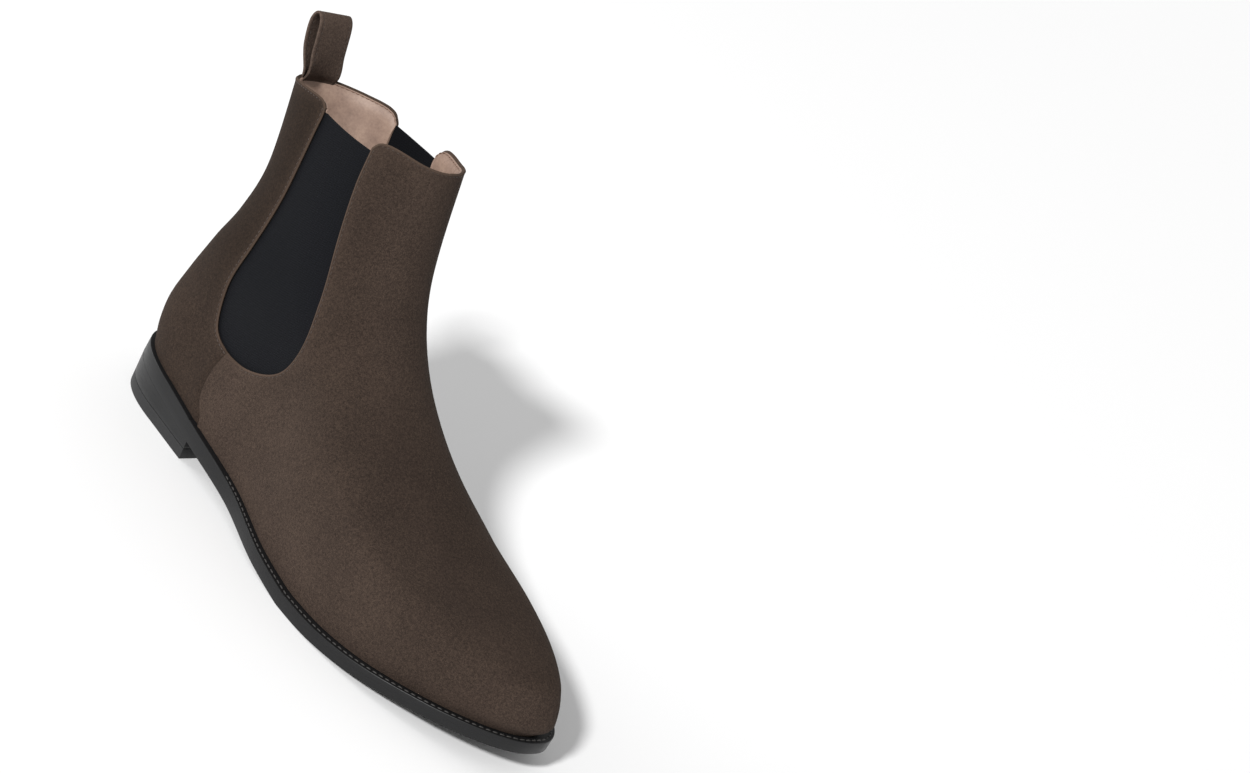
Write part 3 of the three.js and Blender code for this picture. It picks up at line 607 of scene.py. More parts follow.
def spread(length, ends, pitch):
    """Distances along a row: close together at both ends, then evenly."""
    edge = np.array(ends, float)
    edge = edge[edge < length * 0.4]
    middle = max(int((length - 2 * edge[-1]) / pitch), 1)
    return np.r_[edge, np.linspace(edge[-1], length - edge[-1], middle + 1)[1:-1], (length - edge)[::-1]]


EDGE_STEPS = [0, 0.22, 0.5, 0.85, 1.25, 1.65, 2.05, 2.45, 2.9, 3.5, 4.4, 5.8, 7.6]
BOUNDARY_STEPS = 240
CORNER_SHARE = 0.2  # of a panel's side lies along the seam, below the window's corner


class Panel:
    """A panel of the upper between two boundary lines and a top edge, as rows of share and angle."""

    def __init__(self, start, end, middle_angle, middle_top, top_edges, rows, columns):
        # start and end are (share, angle) lines from the feather line up to the top edge
        run = np.linspace(0, 1, len(start[0]))
        s0, a0 = np.interp(rows, run, start[0]), np.interp(rows, run, start[1])
        s1, a1 = np.interp(rows, run, end[0]), np.interp(rows, run, end[1])
        self.share = np.zeros((len(rows), len(columns)))
        self.angle = np.zeros_like(self.share)
        dense = np.linspace(0, 1, 161)
        first_half = dense < 0.5
        off = np.abs(2 * dense - 1) ** 2
        for i, row in enumerate(rows):
            angles = np.where(
                first_half,
                a0[i] + (middle_angle - a0[i]) * 2 * dense,
                middle_angle + (a1[i] - middle_angle) * (2 * dense - 1),
            )
            middle = middle_top * row
            shares = middle + (np.where(first_half, s0[i], s1[i]) - middle) * off
            full = middle_top + (np.where(first_half, start[0][-1], end[0][-1]) - middle_top) * off
            shares = shares + (top_at(top_edges, angles) - full) * ease(0.7, 1, row)
            length = run_of(last_point(shares, angles))
            at = columns * length[-1]
            self.share[i] = np.interp(at, length, shares)
            self.angle[i] = np.interp(at, length, angles)

    def points(self, depth=0.0):
        return on_last(self.share, self.angle, np.broadcast_to(depth, self.share.shape))

    def from_edges(self):
        """Each point's distance from the sewn edges: both sides and the top."""
        surface = last_point(self.share, self.angle)
        flat = surface.reshape(-1, 3)
        nearest = np.full(len(flat), 1e9)
        for edge in (surface[:, 0], surface[:, -1], surface[-1]):
            fine = np.concatenate([edge[:-1] + (edge[1:] - edge[:-1]) * s for s in (0, 0.25, 0.5, 0.75)])
            for chunk in range(0, len(flat), 4000):
                part = slice(chunk, chunk + 4000)
                gaps = np.sqrt(((flat[part, None] - fine[None]) ** 2).sum(-1)).min(1)
                nearest[part] = np.minimum(nearest[part], gaps)
        return nearest.reshape(self.share.shape)


def row_shares(count, length):
    """Rows of a panel: fine at the bottom and towards the top edge."""
    at = spread(length, EDGE_STEPS, length / count) / length
    at[np.argmin(np.abs(at - CORNER_SHARE))] = CORNER_SHARE
    return at


def column_shares(length, pitch):
    """Columns of a panel: fine towards both sides."""
    return spread(length, EDGE_STEPS, pitch) / length


def window(side):
    """The gore's window as one smooth line, split at the seam into its rear and front, each going up."""
    rear, front = leaned(GORE_REAR, side), leaned(GORE_FRONT, side)
    if side > 0:
        rear[0], front[-1] = TOP_BACK_INSIDE[-1], TOP_FRONT_INSIDE[0]
    line = smooth_line(rear + front[1:], 500)
    corner = np.argmin(((line - np.array(front[0])) ** 2).sum(1))
    return line[: corner + 1][::-1], line[corner:]


def boundary(window_edge, side):
    """A panel's side from the feather line up the seam and the window, as share and angle."""
    seam = smooth_line(SEAM[:-1] + [tuple(window_edge[0])], 40)
    seam_steps = round(BOUNDARY_STEPS * CORNER_SHARE)
    shares, angles = [], []
    for points, steps in ((seam, seam_steps), (window_edge, BOUNDARY_STEPS - seam_steps)):
        share, angle = find_on_last(points, side)
        if not shares:
            share[0] = 0
        run = run_of(last_point(share, angle))
        at = np.linspace(0, run[-1], steps + 1)
        shares.append(np.interp(at, run, share))
        angles.append(np.interp(at, run, angle))
    return np.r_[shares[0], shares[1][1:]], np.r_[angles[0], angles[1][1:]]


def turned_round(line):
    """The same line with its angles counted on the other way past the front."""
    share, angle = line
    return share, np.where(angle < 0, angle + 2 * math.pi, angle)


SIDES = {"outside": -1, "inside": 1}
gore_rear = {s: window(n)[0] for s, n in SIDES.items()}
gore_front = {s: window(n)[1] for s, n in SIDES.items()}
quarter_edge = {s: boundary(gore_rear[s], n) for s, n in SIDES.items()}
vamp_edge = {s: boundary(gore_front[s], n) for s, n in SIDES.items()}

top_of_back = float(TOP_OF_BACK[0](0.0))
top_of_front = float(TOP_OF_FRONT[0](math.pi))


QUARTER_TALL, QUARTER_WIDE = 165, 150  # roughly, over the last
VAMP_TALL, VAMP_WIDE = 200, 230


def quarter_panel(rows, pitch):
    """The back of the upper, from the inner seam round the heel to the outer one."""
    net = row_shares(rows, QUARTER_TALL), column_shares(QUARTER_WIDE, pitch)
    inside, outside = quarter_edge["inside"], quarter_edge["outside"]
    return Panel(inside, outside, 0.0, top_of_back, TOP_OF_BACK, *net)


def vamp_panel(rows, pitch):
    """The front of the upper, from the outer seam round the toe to the inner one."""
    net = row_shares(rows, VAMP_TALL), column_shares(VAMP_WIDE, pitch)
    outside, inside = turned_round(vamp_edge["outside"]), vamp_edge["inside"]
    return Panel(outside, inside, math.pi, top_of_front, TOP_OF_FRONT, *net)


HEM = 1.7  # thickness of the folded edge
FOLD_RISE, FOLD_ROLL = 0.28, 0.42  # the folded edge stands proud, then rolls down to its rim
STITCH_INSET, STITCH_GROOVE = 1.5, 0.16  # from the edge, and how deep the thread pulls in
SEAM_TOP, SEAM_FULL = 62, 55  # between these heights the window's folded edge becomes the side seam
SEAM_LAP = 3.6  # how far one panel lies over the other along the seam
# painted light: how much lighter the suede is painted on faces turned to the front, which the key light
# barely reaches
PAINTED_LIGHT_FRONT = 0.15
# painted shade: the darkest the suede is painted along the side seam's edge
SEAM_PAINTED_SHADE_FLOOR = -0.15


def mark(item, name, values):
    """A value at every vertex, which a material can read."""
    layer = item.data.attributes.new(name, "FLOAT", "POINT")
    layer.data.foreach_set("value", np.asarray(values, np.float32).ravel())


def weigh(item, name, weights):
    """A vertex group with a weight for every vertex, in steps of a hundredth."""
    group = item.vertex_groups.new(name=name)
    weights = np.round(np.ravel(weights), 2)
    for value in np.unique(weights):
        group.add(np.nonzero(weights == value)[0].tolist(), float(value), "REPLACE")


def nap_with_painted_light(panel, side_lift, low_lift):
    """How light the suede is: its own tone on each panel, lighter low on the foot, and painted light on
    faces turned to the front, which the key light barely reaches.
    """
    place = last_point(panel.share, panel.angle)
    # painted light: faces turned to the front, away from the key light, are painted lighter
    front = ease(0.3, 1.0, outward(panel.share, panel.angle)[..., 0]) * ease(50, 70, place[..., 0])
    low = ease(75, 25, place[..., 2] - 30 * ease(140, 60, place[..., 0])) * (1 - front)
    low = low * (1 - 0.7 * ease(150, 235, place[..., 0]))
    return np.clip(side_lift + PAINTED_LIGHT_FRONT * front + low_lift * low, 0, 1)


def leather_panel(name, panel, lap, side_lift, low_lift):
    """A closed sheet of leather on the last, with a folded edge, and a groove where the thread pulls in."""
    near = panel.from_edges()
    fold = FOLD_RISE * hump(near, 1.05, 0.75) - FOLD_ROLL * hump(near, 0, 0.42)
    rise = fold - STITCH_GROOVE * hump(near, STITCH_INSET, 0.38)
    seam = ease(SEAM_TOP, SEAM_FULL, last_point(panel.share, panel.angle)[..., 2])
    seamed = lap * ease(SEAM_LAP, 1.4, near) - (0.5 if lap > 0 else 0) * hump(near, 0, 0.4)
    rise = rise * (1 - seam) + seamed * seam
    foot = plan_point(panel.angle[0], 1.6, welt_top)
    item = grid(name, np.concatenate([foot[None], panel.points(-rise)]))
    rubbed = 0.5 * hump(near, 0.35, 0.5) + 0.12 * hump(near, 0, 4.5)
    mark(item, "rubbed", np.concatenate([rubbed[:1] * 0, rubbed * (1 - 0.8 * seam)]))
    # painted shade: the suede is darkened along the lapped side seam's edge, down to a floor
    nap = nap_with_painted_light(panel, side_lift, low_lift) - 0.9 * seam * hump(near, 0, 0.55)
    nap = np.maximum(nap, SEAM_PAINTED_SHADE_FLOOR)
    mark(item, "nap", np.concatenate([nap[:1], nap]))
    thin = SUEDE / HEM
    thickness = np.clip(thin + (1 - thin) * ease(7, 5.5, near) * (1 - seam), 0, 1)
    weigh(item, "hem", np.concatenate([thickness[:1], thickness]))
    hem = {"vertex_group": "hem", "use_even_offset": False}
    apply_modifier(item, "SOLIDIFY", thickness=HEM * MM, offset=-1, **hem)
    smooth(item)
    return item


quarter = leather_panel("suede_quarter", quarter_panel(95, 1.7), -0.45, 0.02, 0.12)
dress(quarter, SUEDE_BROWN)
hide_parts("quarter", "quarter_shaft")
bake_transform(quarter)

vamp = leather_panel("suede_vamp", vamp_panel(130, 1.8), 0.4, 0.2, 0.11)
dress(vamp, SUEDE_BROWN)
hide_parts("vamp")
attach(vamp, "boot")


# ---- Elastic gores ----
GORE_HIDDEN = 7.2  # of the elastic runs in under the leather
GORE_DEPTH = SUEDE + GAP
ELASTIC = 1.0
GORE_ROWS, GORE_COLUMNS, GORE_STEPS = 70, 44, 90
GORE_DIP = 0.5  # the elastic sags this much at its bottom edge and its top one


def offset_line(line, distance):
    """A side-view line moved square to itself, to the right of its direction."""
    along = np.gradient(line, axis=0)
    along /= np.linalg.norm(along, axis=1, keepdims=True)
    return line + np.column_stack([along[:, 1], -along[:, 0]]) * distance


def gore_piece(name, side, top):
    """One gore: rows across the window from its rounded bottom to the top edge, tucked under all round."""
    key = "outside" if side < 0 else "inside"
    rear = offset_line(smooth_line(gore_rear[key], GORE_STEPS), -GORE_HIDDEN)
    front = offset_line(smooth_line(gore_front[key], GORE_STEPS), GORE_HIDDEN)
    rows = np.linspace(0, 1, GORE_ROWS)
    at = np.linspace(0, 1, GORE_STEPS)
    left, right = sampled(rows, at, rear), sampled(rows, at, front)
    left[-1, 1], right[-1, 1] = top
    across = np.linspace(0, 1, GORE_COLUMNS)
    flat = left[:, None] * (1 - across[:, None]) + right[:, None] * across[:, None]
    flat[..., 1] -= ((1 - rows[:, None]) ** 3 * 4 * across * (1 - across)) * GORE_DIP
    tops = top[0] + (top[1] - top[0]) * across - GORE_DIP * np.sin(np.pi * across)
    flat[..., 1] = np.minimum(flat[..., 1], tops[None, :] - (1 - rows[:, None]) * 0.01)
    flat[-1, :, 1] = tops
    share, angle = find_on_last(flat, side)
    points = on_last(share, angle, np.full(share.shape, GORE_DEPTH))
    if side > 0:
        points, flat = points[:, ::-1], flat[:, ::-1]
    item = grid(name, points)
    weave = item.data.uv_layers.new(name="weave")
    places = flat.reshape(-1, 2) * MM
    corners = read(item.data.loops, "vertex_index")
    weave.data.foreach_set("uv", places[corners].astype(np.float32).ravel())
    apply_modifier(item, "SOLIDIFY", thickness=ELASTIC * MM, offset=-1)
    smooth(item)
    dress(item, ELASTIC_BLACK)
    return item


# the heights of each gore's top edge at its rear and at its front, on the outer and the inner side
TOP_OF_GORE = {-1: (185.0, 186.5), 1: (179.5, 181.5)}
GORES = (("elastic_outside", -1, "gore_lateral"), ("elastic_inside", 1, "gore_medial"))
for gore_name, gore_side, gore_node in GORES:
    gore = gore_piece(gore_name, gore_side, TOP_OF_GORE[gore_side])
    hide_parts(gore_node)
    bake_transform(gore)


# ---- Lining ----
LINING_DEPTH = GORE_DEPTH + ELASTIC + GAP
LINING_LOWER = 0.0045  # of the height: about 0.8 mm below the folded edge of the suede


def lining_panel(name, panel):
    """A closed sheet of lining leather that comes up to the suede along the top edge."""
    near = panel.from_edges()
    top = last_point(panel.share[-1], panel.angle[-1])
    height = np.linalg.norm(last_point(panel.share, panel.angle) - top[None], axis=-1)
    rise = (LINING_DEPTH - HEM + 0.2) * ease(7, 0.5, height)
    drop = 0.25 * hump(near, 0, 0.4)  # the rim rolls in
    panel.share = panel.share - LINING_LOWER * ease(5, 0, height)
    points = panel.points(LINING_DEPTH - rise + drop)
    foot = plan_point(panel.angle[0], LINING_DEPTH + 1.5, lambda x: feather_height(x) + LINING_DEPTH * 0.7)
    item = grid(name, np.concatenate([foot[None], points]))
    apply_modifier(item, "SOLIDIFY", thickness=LINING * MM, offset=-1)
    smooth(item)
    dress(item, LINING_ROSE)
    return item


quarter_lining = lining_panel("lining_quarter", quarter_panel(60, 3))
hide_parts("quarter_lining", "quarter_shaft_lining")
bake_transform(quarter_lining)
vamp_lining = lining_panel("lining_vamp", vamp_panel(80, 3.5))
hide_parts("vamp_lining")
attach(vamp_lining, "boot")


# ---- Pull tab ----
TAB_HALF = 11  # of its width
TAB_SEWN = 9  # from its middle to its stitches
TAB_STRAP = 1.5
TAB_PIVOT = (-29.48, 183.7)
TAB_LOOP = [
    (-1.5, 0), (-4.6, 5.6), (-8.8, 14.6), (-10.9, 22), (-10.2, 26.2), (-8.1, 27.6), (-5.9, 26.2),
    (-4.2, 23.4), (-1.7, 16), (1.0, 6.6), (1.5, 0),
]
TAB_TAIL = 16
TAB_FLAT = 11  # above the boot's top edge the strap stands flat
BACK_SHARES = np.linspace(0, 1, 200)
BACK_HEIGHTS = float(feather_height(BACK_LINE[0][1])) + through(BACK_LINE, BACK_SHARES)[:, 1]


def tab_hug(across, height):
    """How far forward the strap lies off its middle: round the back of the boot at its foot, flat above."""
    share = np.interp(TAB_PIVOT[1] - TAB_TAIL / 2, BACK_HEIGHTS, BACK_SHARES)
    back = last_point(share, np.linspace(-0.9, 0.9, 181))
    forward = np.interp(across, back[:, 1], back[:, 0]) - np.interp(0, back[:, 1], back[:, 0])
    return forward * (1 - ease(0, TAB_FLAT, height - TAB_PIVOT[1]))


def pull_tab():
    """One strap folded over itself, its two ends sewn in between suede and lining."""
    tails = []
    for z in (TAB_PIVOT[1] - 4.5, TAB_PIVOT[1] - 10, TAB_PIVOT[1] - TAB_TAIL):
        share = np.interp(z, BACK_HEIGHTS, BACK_SHARES)
        tails.append((float(through(BACK_LINE, share)[0]) + 2.1 - TAB_PIVOT[0], z - TAB_PIVOT[1]))
    back = [(x - 0.42, z) for x, z in tails[::-1]]
    front = [(x + 0.42, z) for x, z in tails]
    path = smooth_line(back + TAB_LOOP + front, 150) + np.array(TAB_PIVOT)
    half = np.array([2, 4, 6, 7.4, 8.1, 8.7, 9.3, 9.9, 10.5, 10.85, TAB_HALF])
    across = np.r_[-half[::-1], 0, half]
    points = np.zeros((len(path), len(across), 3))
    points[..., 0] = path[:, 0][:, None] + tab_hug(across[None], path[:, 1][:, None])
    points[..., 2] = path[:, 1][:, None]
    points[..., 1] = across[None]
    item = grid("suede_pull_tab", points)
    mark(item, "nap", np.full(len(item.data.vertices), 0.62))
    thin = np.clip(0.5 + 0.5 * ease(-6, 1.5, path[:, 1] - TAB_PIVOT[1]), 0, 1)
    edge = np.abs(across)
    groove = 1 - 0.22 * hump(edge, TAB_SEWN, 0.5) - 0.35 * hump(edge, TAB_HALF, 0.3)
    weigh(item, "skive", thin[:, None] * groove[None])
    apply_modifier(item, "SOLIDIFY", thickness=TAB_STRAP * MM, offset=0, vertex_group="skive")
    smooth(item)
    dress(item, SUEDE_BROWN)
    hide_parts("pull_tab", "pull_tab_tail")
    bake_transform(item)
    return path


tab_path = pull_tab()


# ---- Sole and heel ----
def coons(low_side, high_side, start, end):
    """Fills four boundary lines: rows run from start to end, columns from the low side to the high."""
    rows, columns = len(low_side), len(start)
    u = np.linspace(0, 1, rows)[:, None, None]
    v = np.linspace(0, 1, columns)[None, :, None]
    ruled = low_side[:, None] * (1 - v) + high_side[:, None] * v
    ruled = ruled + start[None] * (1 - u) + end[None] * u
    corners = low_side[0] * (1 - u) * (1 - v) + low_side[-1] * u * (1 - v)
    return ruled - corners - high_side[0] * (1 - u) * v - high_side[-1] * u * v


def level(height):
    """A height, or an outset, that is the same all along."""
    return lambda x: 0 * x + height


def outline_run(outset, first, last, count):
    """The sole's outline between two angles, evenly spaced, grown by the outset."""
    fine = np.linspace(first, last, 600)
    edge = last_point(0, fine)
    points = plan_point(fine, -outset(edge[..., 0]), level(0))[:, :2]
    run = run_of(points)
    return sampled(np.linspace(0, run[-1], count), run, points)


def slab(name, plan, low, high, bevel_mm, material, slot, node, rims=("top", "bottom"), low_plan=None):
    """A sheet on a plan of x and y, drawn down from its top face to its lower one, with its rims rounded.
    Black leather has its edge burnished."""
    item = grid(name, np.concatenate([plan, high(plan[..., 0])[..., None]], -1))
    bpy.context.view_layer.objects.active = item
    bpy.ops.object.mode_set(mode="EDIT")
    bpy.ops.mesh.select_all(action="SELECT")
    bpy.ops.mesh.extrude_region_move(TRANSFORM_OT_translate={"value": (0, 0, -1)})
    bpy.ops.object.mode_set(mode="OBJECT")
    places = read(item.data.vertices, "co", np.float32, 3).reshape(-1, 3).astype(float) / MM
    down = places[:, 2] < -500  # the copy that the extrusion took a metre down
    flat, lower = plan.reshape(-1, 2), (plan if low_plan is None else low_plan).reshape(-1, 2)
    match = np.argmin(((places[down, None, :2] - flat[None]) ** 2).sum(-1), axis=1)
    places[down, :2] = lower[match]
    places[down, 2] = low(places[down, 0])
    put(item, places)
    bpy.ops.object.mode_set(mode="EDIT")
    bpy.ops.mesh.select_all(action="SELECT")
    bpy.ops.mesh.normals_make_consistent(inside=False)
    bpy.ops.object.mode_set(mode="OBJECT")
    lowered = down[read(item.data.loops, "vertex_index")].reshape(-1, 4)
    edge_faces = lowered.any(1) & ~lowered.all(1)
    dress(item, material)
    if slot == "black_leather":
        dress(item, material, EDGE_BLACK)
        item.data.polygons.foreach_set("material_index", edge_faces.astype(np.int32))
    if bevel_mm:
        both_up, both_down = ~lowered & ~np.roll(lowered, -1, 1), lowered & np.roll(lowered, -1, 1)
        chosen = both_up & ("top" in rims) | both_down & ("bottom" in rims)
        edges = read(item.data.loops, "edge_index").reshape(-1, 4)
        weight = np.zeros(len(item.data.edges), np.float32)
        weight[edges[edge_faces][chosen[edge_faces]]] = 1
        layer = item.data.attributes.new("bevel_weight_edge", "FLOAT", "EDGE")
        layer.data.foreach_set("value", weight)
        apply_modifier(item, "BEVEL", width=bevel_mm * MM, segments=3, limit_method="WEIGHT")
    smooth(item, 35)
    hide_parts(node)
    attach(item, "boot")
    return item


WELT_SEAT = 6  # of the welt lies under the upper
TOUCH = 0.02  # between two pieces burnished as one edge
CORNER = 0.9  # how far round the heel the end row of a sole reaches
TOE_CORNER = CORNER * 0.6


def sole_plan(outset, rows=110, columns=30):
    """The plan of a sheet under the whole foot."""
    return coons(
        outline_run(outset, -CORNER, -math.pi + TOE_CORNER, rows),
        outline_run(outset, CORNER, math.pi - TOE_CORNER, rows),
        outline_run(outset, -CORNER, CORNER, columns),
        outline_run(outset, -math.pi + TOE_CORNER, -math.pi - TOE_CORNER, columns),
    )


def width_of_welt(x):
    """How far the sole stands out past the feather line."""
    return through(WELT_WIDTH, x)


slab(
    "leather_outsole",
    sole_plan(width_of_welt),
    outsole_underside,
    outsole_top,
    0.6,
    OUTSOLE_BLACK,
    "black_leather",
    "outsole",
    ("bottom",),
)


def strip_plan(first, last, columns):
    """The welt's plan: rows from its seat under the upper to its outer edge."""
    outer = outline_run(width_of_welt, first, last, columns)
    inner = outline_run(level(-WELT_SEAT), first, last, columns)
    share = np.r_[np.linspace(0, 0.8, 6), 0.87, 0.93, 1][:, None, None]
    return inner[None] * (1 - share) + outer[None] * share


def angle_at(x, side):
    """The angle at which the feather line passes a place along the foot."""
    fine = np.linspace(0.01, math.pi - 0.01, 2000)
    return float(np.interp(x, last_point(0, side * fine)[..., 0], fine)) * side


def welt_foot(x):
    """The face of the welt that lies on the outsole."""
    return outsole_top(x) + TOUCH


rand_ends = angle_at(WELT_END, -1), angle_at(WELT_END, 1)
welt_ends = rand_ends[1], rand_ends[0] + 2 * math.pi
for strip, node, ends, columns in (
    ("welt_strip", "welt", welt_ends, 220),
    ("heel_rand_strip", "heel_rand", rand_ends, 120),
):
    plan = strip_plan(*ends, columns)
    slab(strip, plan, welt_foot, welt_top, 0.4, WELT_BLACK, "black_leather", node, ("top",))


HEEL_CORNERS = 0.36, 0.64  # of the way round the heel, where the plan's rows begin


def heel_plan(face, columns=26, rows=30):
    """The heel's outline behind its breast at a face between two layers, smaller towards the ground."""

    def outset(x):
        return width_of_welt(x) - HEEL_TAPER * (1 - face(x) / outsole_underside(x))

    first, last = angle_at(HEEL_BREAST, -1), angle_at(HEEL_BREAST, 1)
    arc = outline_run(outset, first, last, 400)
    arc[:, 0] = np.minimum(arc[:, 0], HEEL_BREAST)

    def part(start, end, count):
        return sampled(np.linspace(start, end, count), np.linspace(0, 1, len(arc)), arc)

    across = np.linspace(0, 1, columns)[:, None]
    breast = arc[0] * (1 - across) + arc[-1] * across
    left, right = HEEL_CORNERS
    return coons(part(left, 0, rows), part(right, 1, rows), part(left, right, columns), breast)


def heel_face(share, off=0.0):
    """A face between two layers of the heel, from the top piece (0) to the outsole (1)."""
    return lambda x: TOP_PIECE + GAP + (outsole_underside(x) - TOUCH - TOP_PIECE - GAP) * share + off


LIFTS = 3
LIFT_RIM = 0.15
for lift in range(LIFTS):
    low, high = heel_face(lift / LIFTS), heel_face((lift + 1) / LIFTS, -TOUCH)
    slab(
        f"heel_leather_{lift + 1}",
        heel_plan(high),
        low,
        high,
        0 if lift else LIFT_RIM,
        EDGE_BLACK,
        "black_leather",
        f"heel_lift_{lift + 1}",
        ("bottom",),
        heel_plan(low),
    )
top_piece = slab(
    "rubber_top_piece",
    heel_plan(level(TOP_PIECE)),
    level(0),
    level(TOP_PIECE),
    0.3,
    RUBBER_BLACK,
    "heel_rubber",
    "top_piece",
    low_plan=heel_plan(level(0)),
)
NAIL_ROOM = 0.15


def drill(piece, nail):
    """A hole right through a piece, a little wider than its nail."""
    corners = np.array(nail.bound_box) / MM
    low, high = corners.min(0), corners.max(0)
    deselect()
    bpy.ops.mesh.primitive_cylinder_add(
        vertices=24,
        radius=((high - low)[0] / 2 + NAIL_ROOM) * MM,
        depth=40 * MM,
        location=((low[0] + high[0]) / 2 * MM, (low[1] + high[1]) / 2 * MM, 0),
    )
    cutter = bpy.context.object
    apply_modifier(piece, "BOOLEAN", object=cutter, operation="DIFFERENCE", solver="EXACT")
    bpy.data.objects.remove(cutter)


for number in range(1, 8):
    drill(top_piece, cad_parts[f"top_piece_nail_{number}"])


def above_feather(height):
    """A face inside the boot, a height above the feather line."""
    return lambda x: feather_height(x) + height


INSOLE_BASE = WALL + GAP
SOCK_BASE = INSOLE_BASE + INSOLE + GAP
for sheet, inset, base, thick, rim, material, slot, node in (
    ("insole_board", WALL + GAP, INSOLE_BASE, INSOLE, 0.5, INSOLE_TAN, "tan_leather", "insole"),
    ("sock_leather", WALL + 2 * GAP, SOCK_BASE, SOCK, 0.3, LINING_ROSE, "lining_leather", "sock_liner"),
):
    low, high = above_feather(base), above_feather(base + thick)
    slab(sheet, sole_plan(level(-inset), 70, 20), low, high, rim, material, slot, node)


# ---- Stitches ----
THREAD = 0.21  # its radius
PITCH = 2.6  # from stitch to stitch


def one_stitch():
    """A single stitch lying along X, a thick middle going down into the leather at both ends."""
    deselect()
    bpy.ops.mesh.primitive_uv_sphere_add(segments=6, ring_count=5, radius=1)
    item = bpy.context.object
    places = np.array([v.co[:] for v in item.data.vertices])
    faces = [tuple(p.vertices) for p in item.data.polygons]
    bpy.data.objects.remove(item)
    places = places[:, [2, 0, 1]]
    places[:, 0] = np.sign(places[:, 0]) * np.abs(places[:, 0]) ** 0.8
    return places, faces


STITCH = one_stitch()


def stitches(name, lines, pitch, radius, material, fill=0.8):
    """Stitches evenly along lines of points with the normals of the leather."""
    shape, faces = STITCH
    dip = -(shape[:, 0] ** 2) * radius * 0.9
    places, polygons = [], []
    total = 0
    for points, normals in lines:
        run = run_of(points)
        count = max(int(run[-1] / pitch), 1)
        middles = (np.arange(count) + 0.5) * run[-1] / count
        middle, normal = sampled(middles, run, points), sampled(middles, run, normals)
        ahead = sampled(middles + pitch / 2, run, points) - sampled(middles - pitch / 2, run, points)
        ahead /= np.linalg.norm(ahead, axis=1, keepdims=True)
        normal -= ahead * (normal * ahead).sum(1, keepdims=True)
        normal /= np.linalg.norm(normal, axis=1, keepdims=True)
        beside = np.cross(normal, ahead)
        for k in range(count):
            local = np.outer(shape[:, 0], ahead[k]) * pitch * fill / 2
            local = local + np.outer(shape[:, 1], beside[k]) * radius
            local = local + np.outer(shape[:, 2] * radius + dip + radius * 0.25, normal[k])
            places.append(middle[k] + local)
            polygons += [tuple(i + total for i in face) for face in faces]
            total += len(shape)
    data = bpy.data.meshes.new(name)
    data.from_pydata((np.concatenate(places) * MM).tolist(), [], polygons)
    item = placed(name, data)
    smooth(item, 60)
    dress(item, material)
    return item


def surface_line(share, angle, depth):
    """A line of thread on the last, with its normals."""
    return on_last(share, angle, np.full(np.shape(share), depth)), outward(share, angle)


def beside_edge(outline, side, inset):
    """A line of thread beside an edge, which is given in side view."""
    share, angle = find_on_last(offset_line(smooth_line(outline, 150), inset), side)
    return surface_line(share, angle, 0)


def along_top(top_edges, first, last, depth):
    """A line of thread under the top edge, between two angles."""
    angles = np.linspace(first, last, 160)
    tops = top_at(top_edges, angles)
    heights = np.linalg.norm(last_point(tops, angles) - last_point(tops - 0.02, angles), axis=-1)
    return surface_line(tops - 0.02 * STITCH_INSET / heights, angles, depth)


def inner_line(top_edges, first, last):
    """A line of thread on the lining, under the top edge."""
    points, normals = along_top(top_edges, first, last, HEM + LINING + 0.1)
    return points, -normals


front_lines = [beside_edge(gore_front[k], n, STITCH_INSET) for k, n in SIDES.items()]
rear_lines = [beside_edge(gore_rear[k], n, -STITCH_INSET) for k, n in SIDES.items()]
seam_lines = [beside_edge(SEAM, n, 1.6) for n in SIDES.values()]
front_top = TOP_OF_FRONT, vamp_edge["inside"][1][-1], 2 * math.pi + vamp_edge["outside"][1][-1]
back_top = TOP_OF_BACK, quarter_edge["outside"][1][-1], quarter_edge["inside"][1][-1]
front_lines.append(along_top(*front_top, 0.05))
rear_lines.append(along_top(*back_top, 0.05))
inside_front, inside_back = [inner_line(*front_top)], [inner_line(*back_top)]

thread = stitches("thread_on_vamp", front_lines, PITCH, THREAD, THREAD_BROWN)
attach(thread, "boot")
thread = stitches("thread_on_quarter", rear_lines, PITCH, THREAD, THREAD_BROWN)
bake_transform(thread)
thread = stitches("thread_on_seam", seam_lines, 2.4, THREAD * 0.85, THREAD_BROWN)
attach(thread, "boot")
thread = stitches("thread_in_vamp_lining", inside_front, PITCH, THREAD, THREAD_ROSE)
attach(thread, "boot")
thread = stitches("thread_in_quarter_lining", inside_back, PITCH, THREAD, THREAD_ROSE)
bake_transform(thread)


def tab_thread():
    """Both edges of the tab's strap, sewn on both faces above the top edge of the boot."""
    shown = tab_path[:, 1] > TAB_PIVOT[1] + 1
    path = tab_path[shown]
    ahead = np.gradient(path, axis=0)
    ahead /= np.linalg.norm(ahead, axis=1, keepdims=True)
    square = np.column_stack([ahead[:, 1], -ahead[:, 0]])
    lines = []
    for y in (-TAB_SEWN, TAB_SEWN):
        for face in (-1, 1):
            x, z = (path + square * face * TAB_STRAP * 0.42).T
            points = np.column_stack([x + tab_hug(y, z), np.full(len(path), y), z])
            lines.append((points, np.insert(square * face, 1, 0, axis=1)))
    item = stitches("thread_on_tab", lines, PITCH, THREAD, THREAD_BROWN)
    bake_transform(item)


tab_thread()


WELT_PITCH, WELT_THREAD, WELT_THREAD_END = 3.4, 0.42, 70


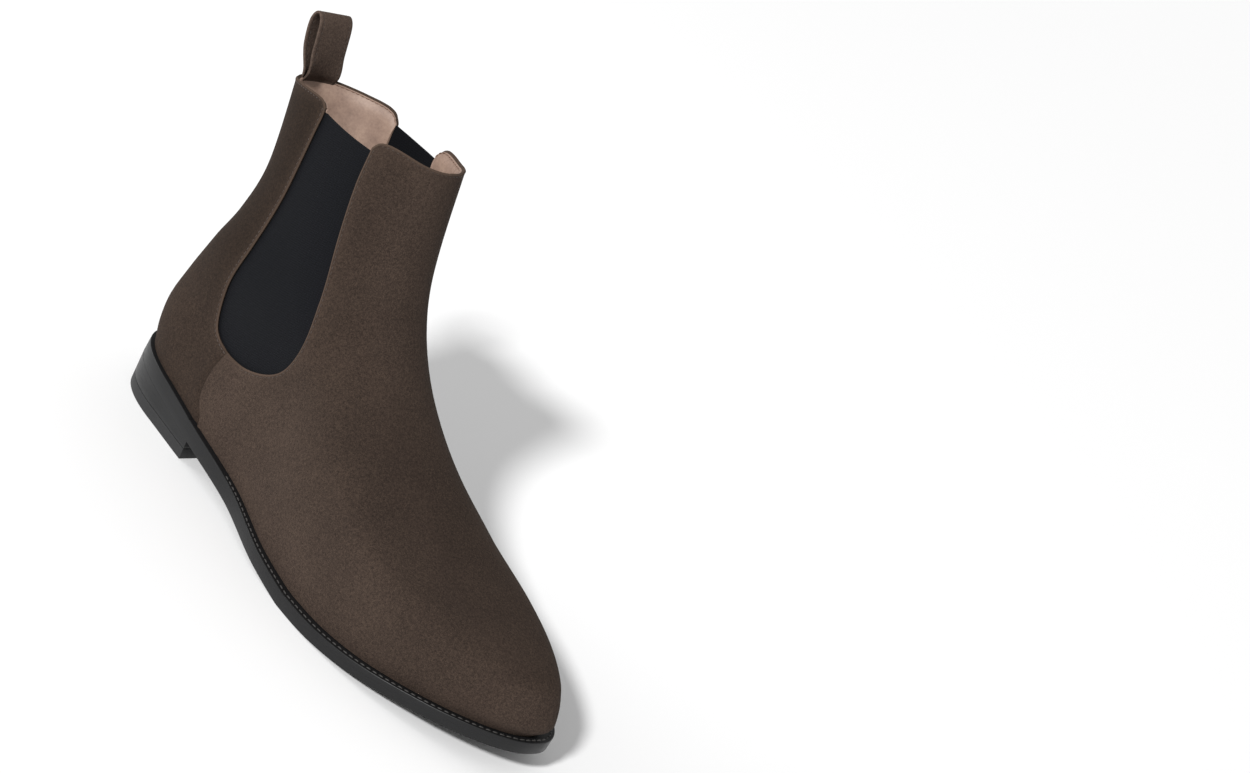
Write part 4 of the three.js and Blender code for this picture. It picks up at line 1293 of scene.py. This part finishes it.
def welt_thread():
    """Lockstitch along the middle of the welt."""
    first, last = angle_at(WELT_THREAD_END, 1), angle_at(WELT_THREAD_END, -1) + 2 * math.pi
    angles = np.linspace(first, last, 700)
    middle = width_of_welt(last_point(0, angles)[..., 0]) * 0.58
    points = plan_point(angles, -middle, welt_top)
    lines = [(points, np.broadcast_to((0.0, 0.0, 1.0), points.shape))]
    item = stitches("thread_on_welt", lines, WELT_PITCH, WELT_THREAD, THREAD_BLACK, 0.86)
    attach(item, "boot")


welt_thread()


# ---- What stays from the frame, inside the boot ----
for node, material in {
    "heel_counter": FIBRE_PALE,
    "toe_puff": FIBRE_PALE,
    "cork_filler": CORK_PASTE,
    "shank": SPRING_STEEL,
    **{f"heel_nail_{i}": NAIL_STEEL for i in range(1, 6)},
    **{f"top_piece_nail_{i}": NAIL_BRASS for i in range(1, 8)},
}.items():
    dress(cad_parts[node], material)

# ---- Stage and light ----
def paper(tree, shader):
    """A roll of matt white studio paper, near white and almost without gloss."""
    plug(tree, shader, {"Base Color": linear("f7f7f7"), "Roughness": 0.9})


def lamp(name, kind, direction, power, **settings):
    """A light that shines along a direction."""
    data = bpy.data.lights.new(name, kind)
    data.energy = power
    for key, value in settings.items():
        setattr(data, key, value)
    item = placed(name, data)
    item.rotation_mode = "QUATERNION"
    item.rotation_quaternion = direction.to_track_quat("-Z", "Y")
    return item


def stage_and_light():
    """A white studio floor, even air, a low sun-like panel and a softbox for the edges of the sole."""
    deselect()
    bpy.ops.mesh.primitive_plane_add(size=40, location=(0, 0, 0))
    floor = bpy.context.object
    floor.name = "studio_floor"
    dress(floor, finish_material("pale_paper", paper))
    world = bpy.data.worlds.new("studio_air")
    bpy.context.scene.world = world
    world.use_nodes = True
    air = {"Color": (1, 1, 1, 1), "Strength": 0.47}
    plug(world.node_tree, world.node_tree.nodes["Background"], air)
    place, middle = Vector((-1.1, -0.5, 0.5)), Vector((0.08, 0, 0.08))
    box = lamp("edge_softbox", "AREA", middle - place, 5, shape="SQUARE", size=0.6)
    box.location = place
    lamp("key_panel", "SUN", Vector((-0.12, 0.83, -0.54)), 3.4, angle=math.radians(6))


stage_and_light()
bpy.context.scene.view_settings.view_transform = "Standard"
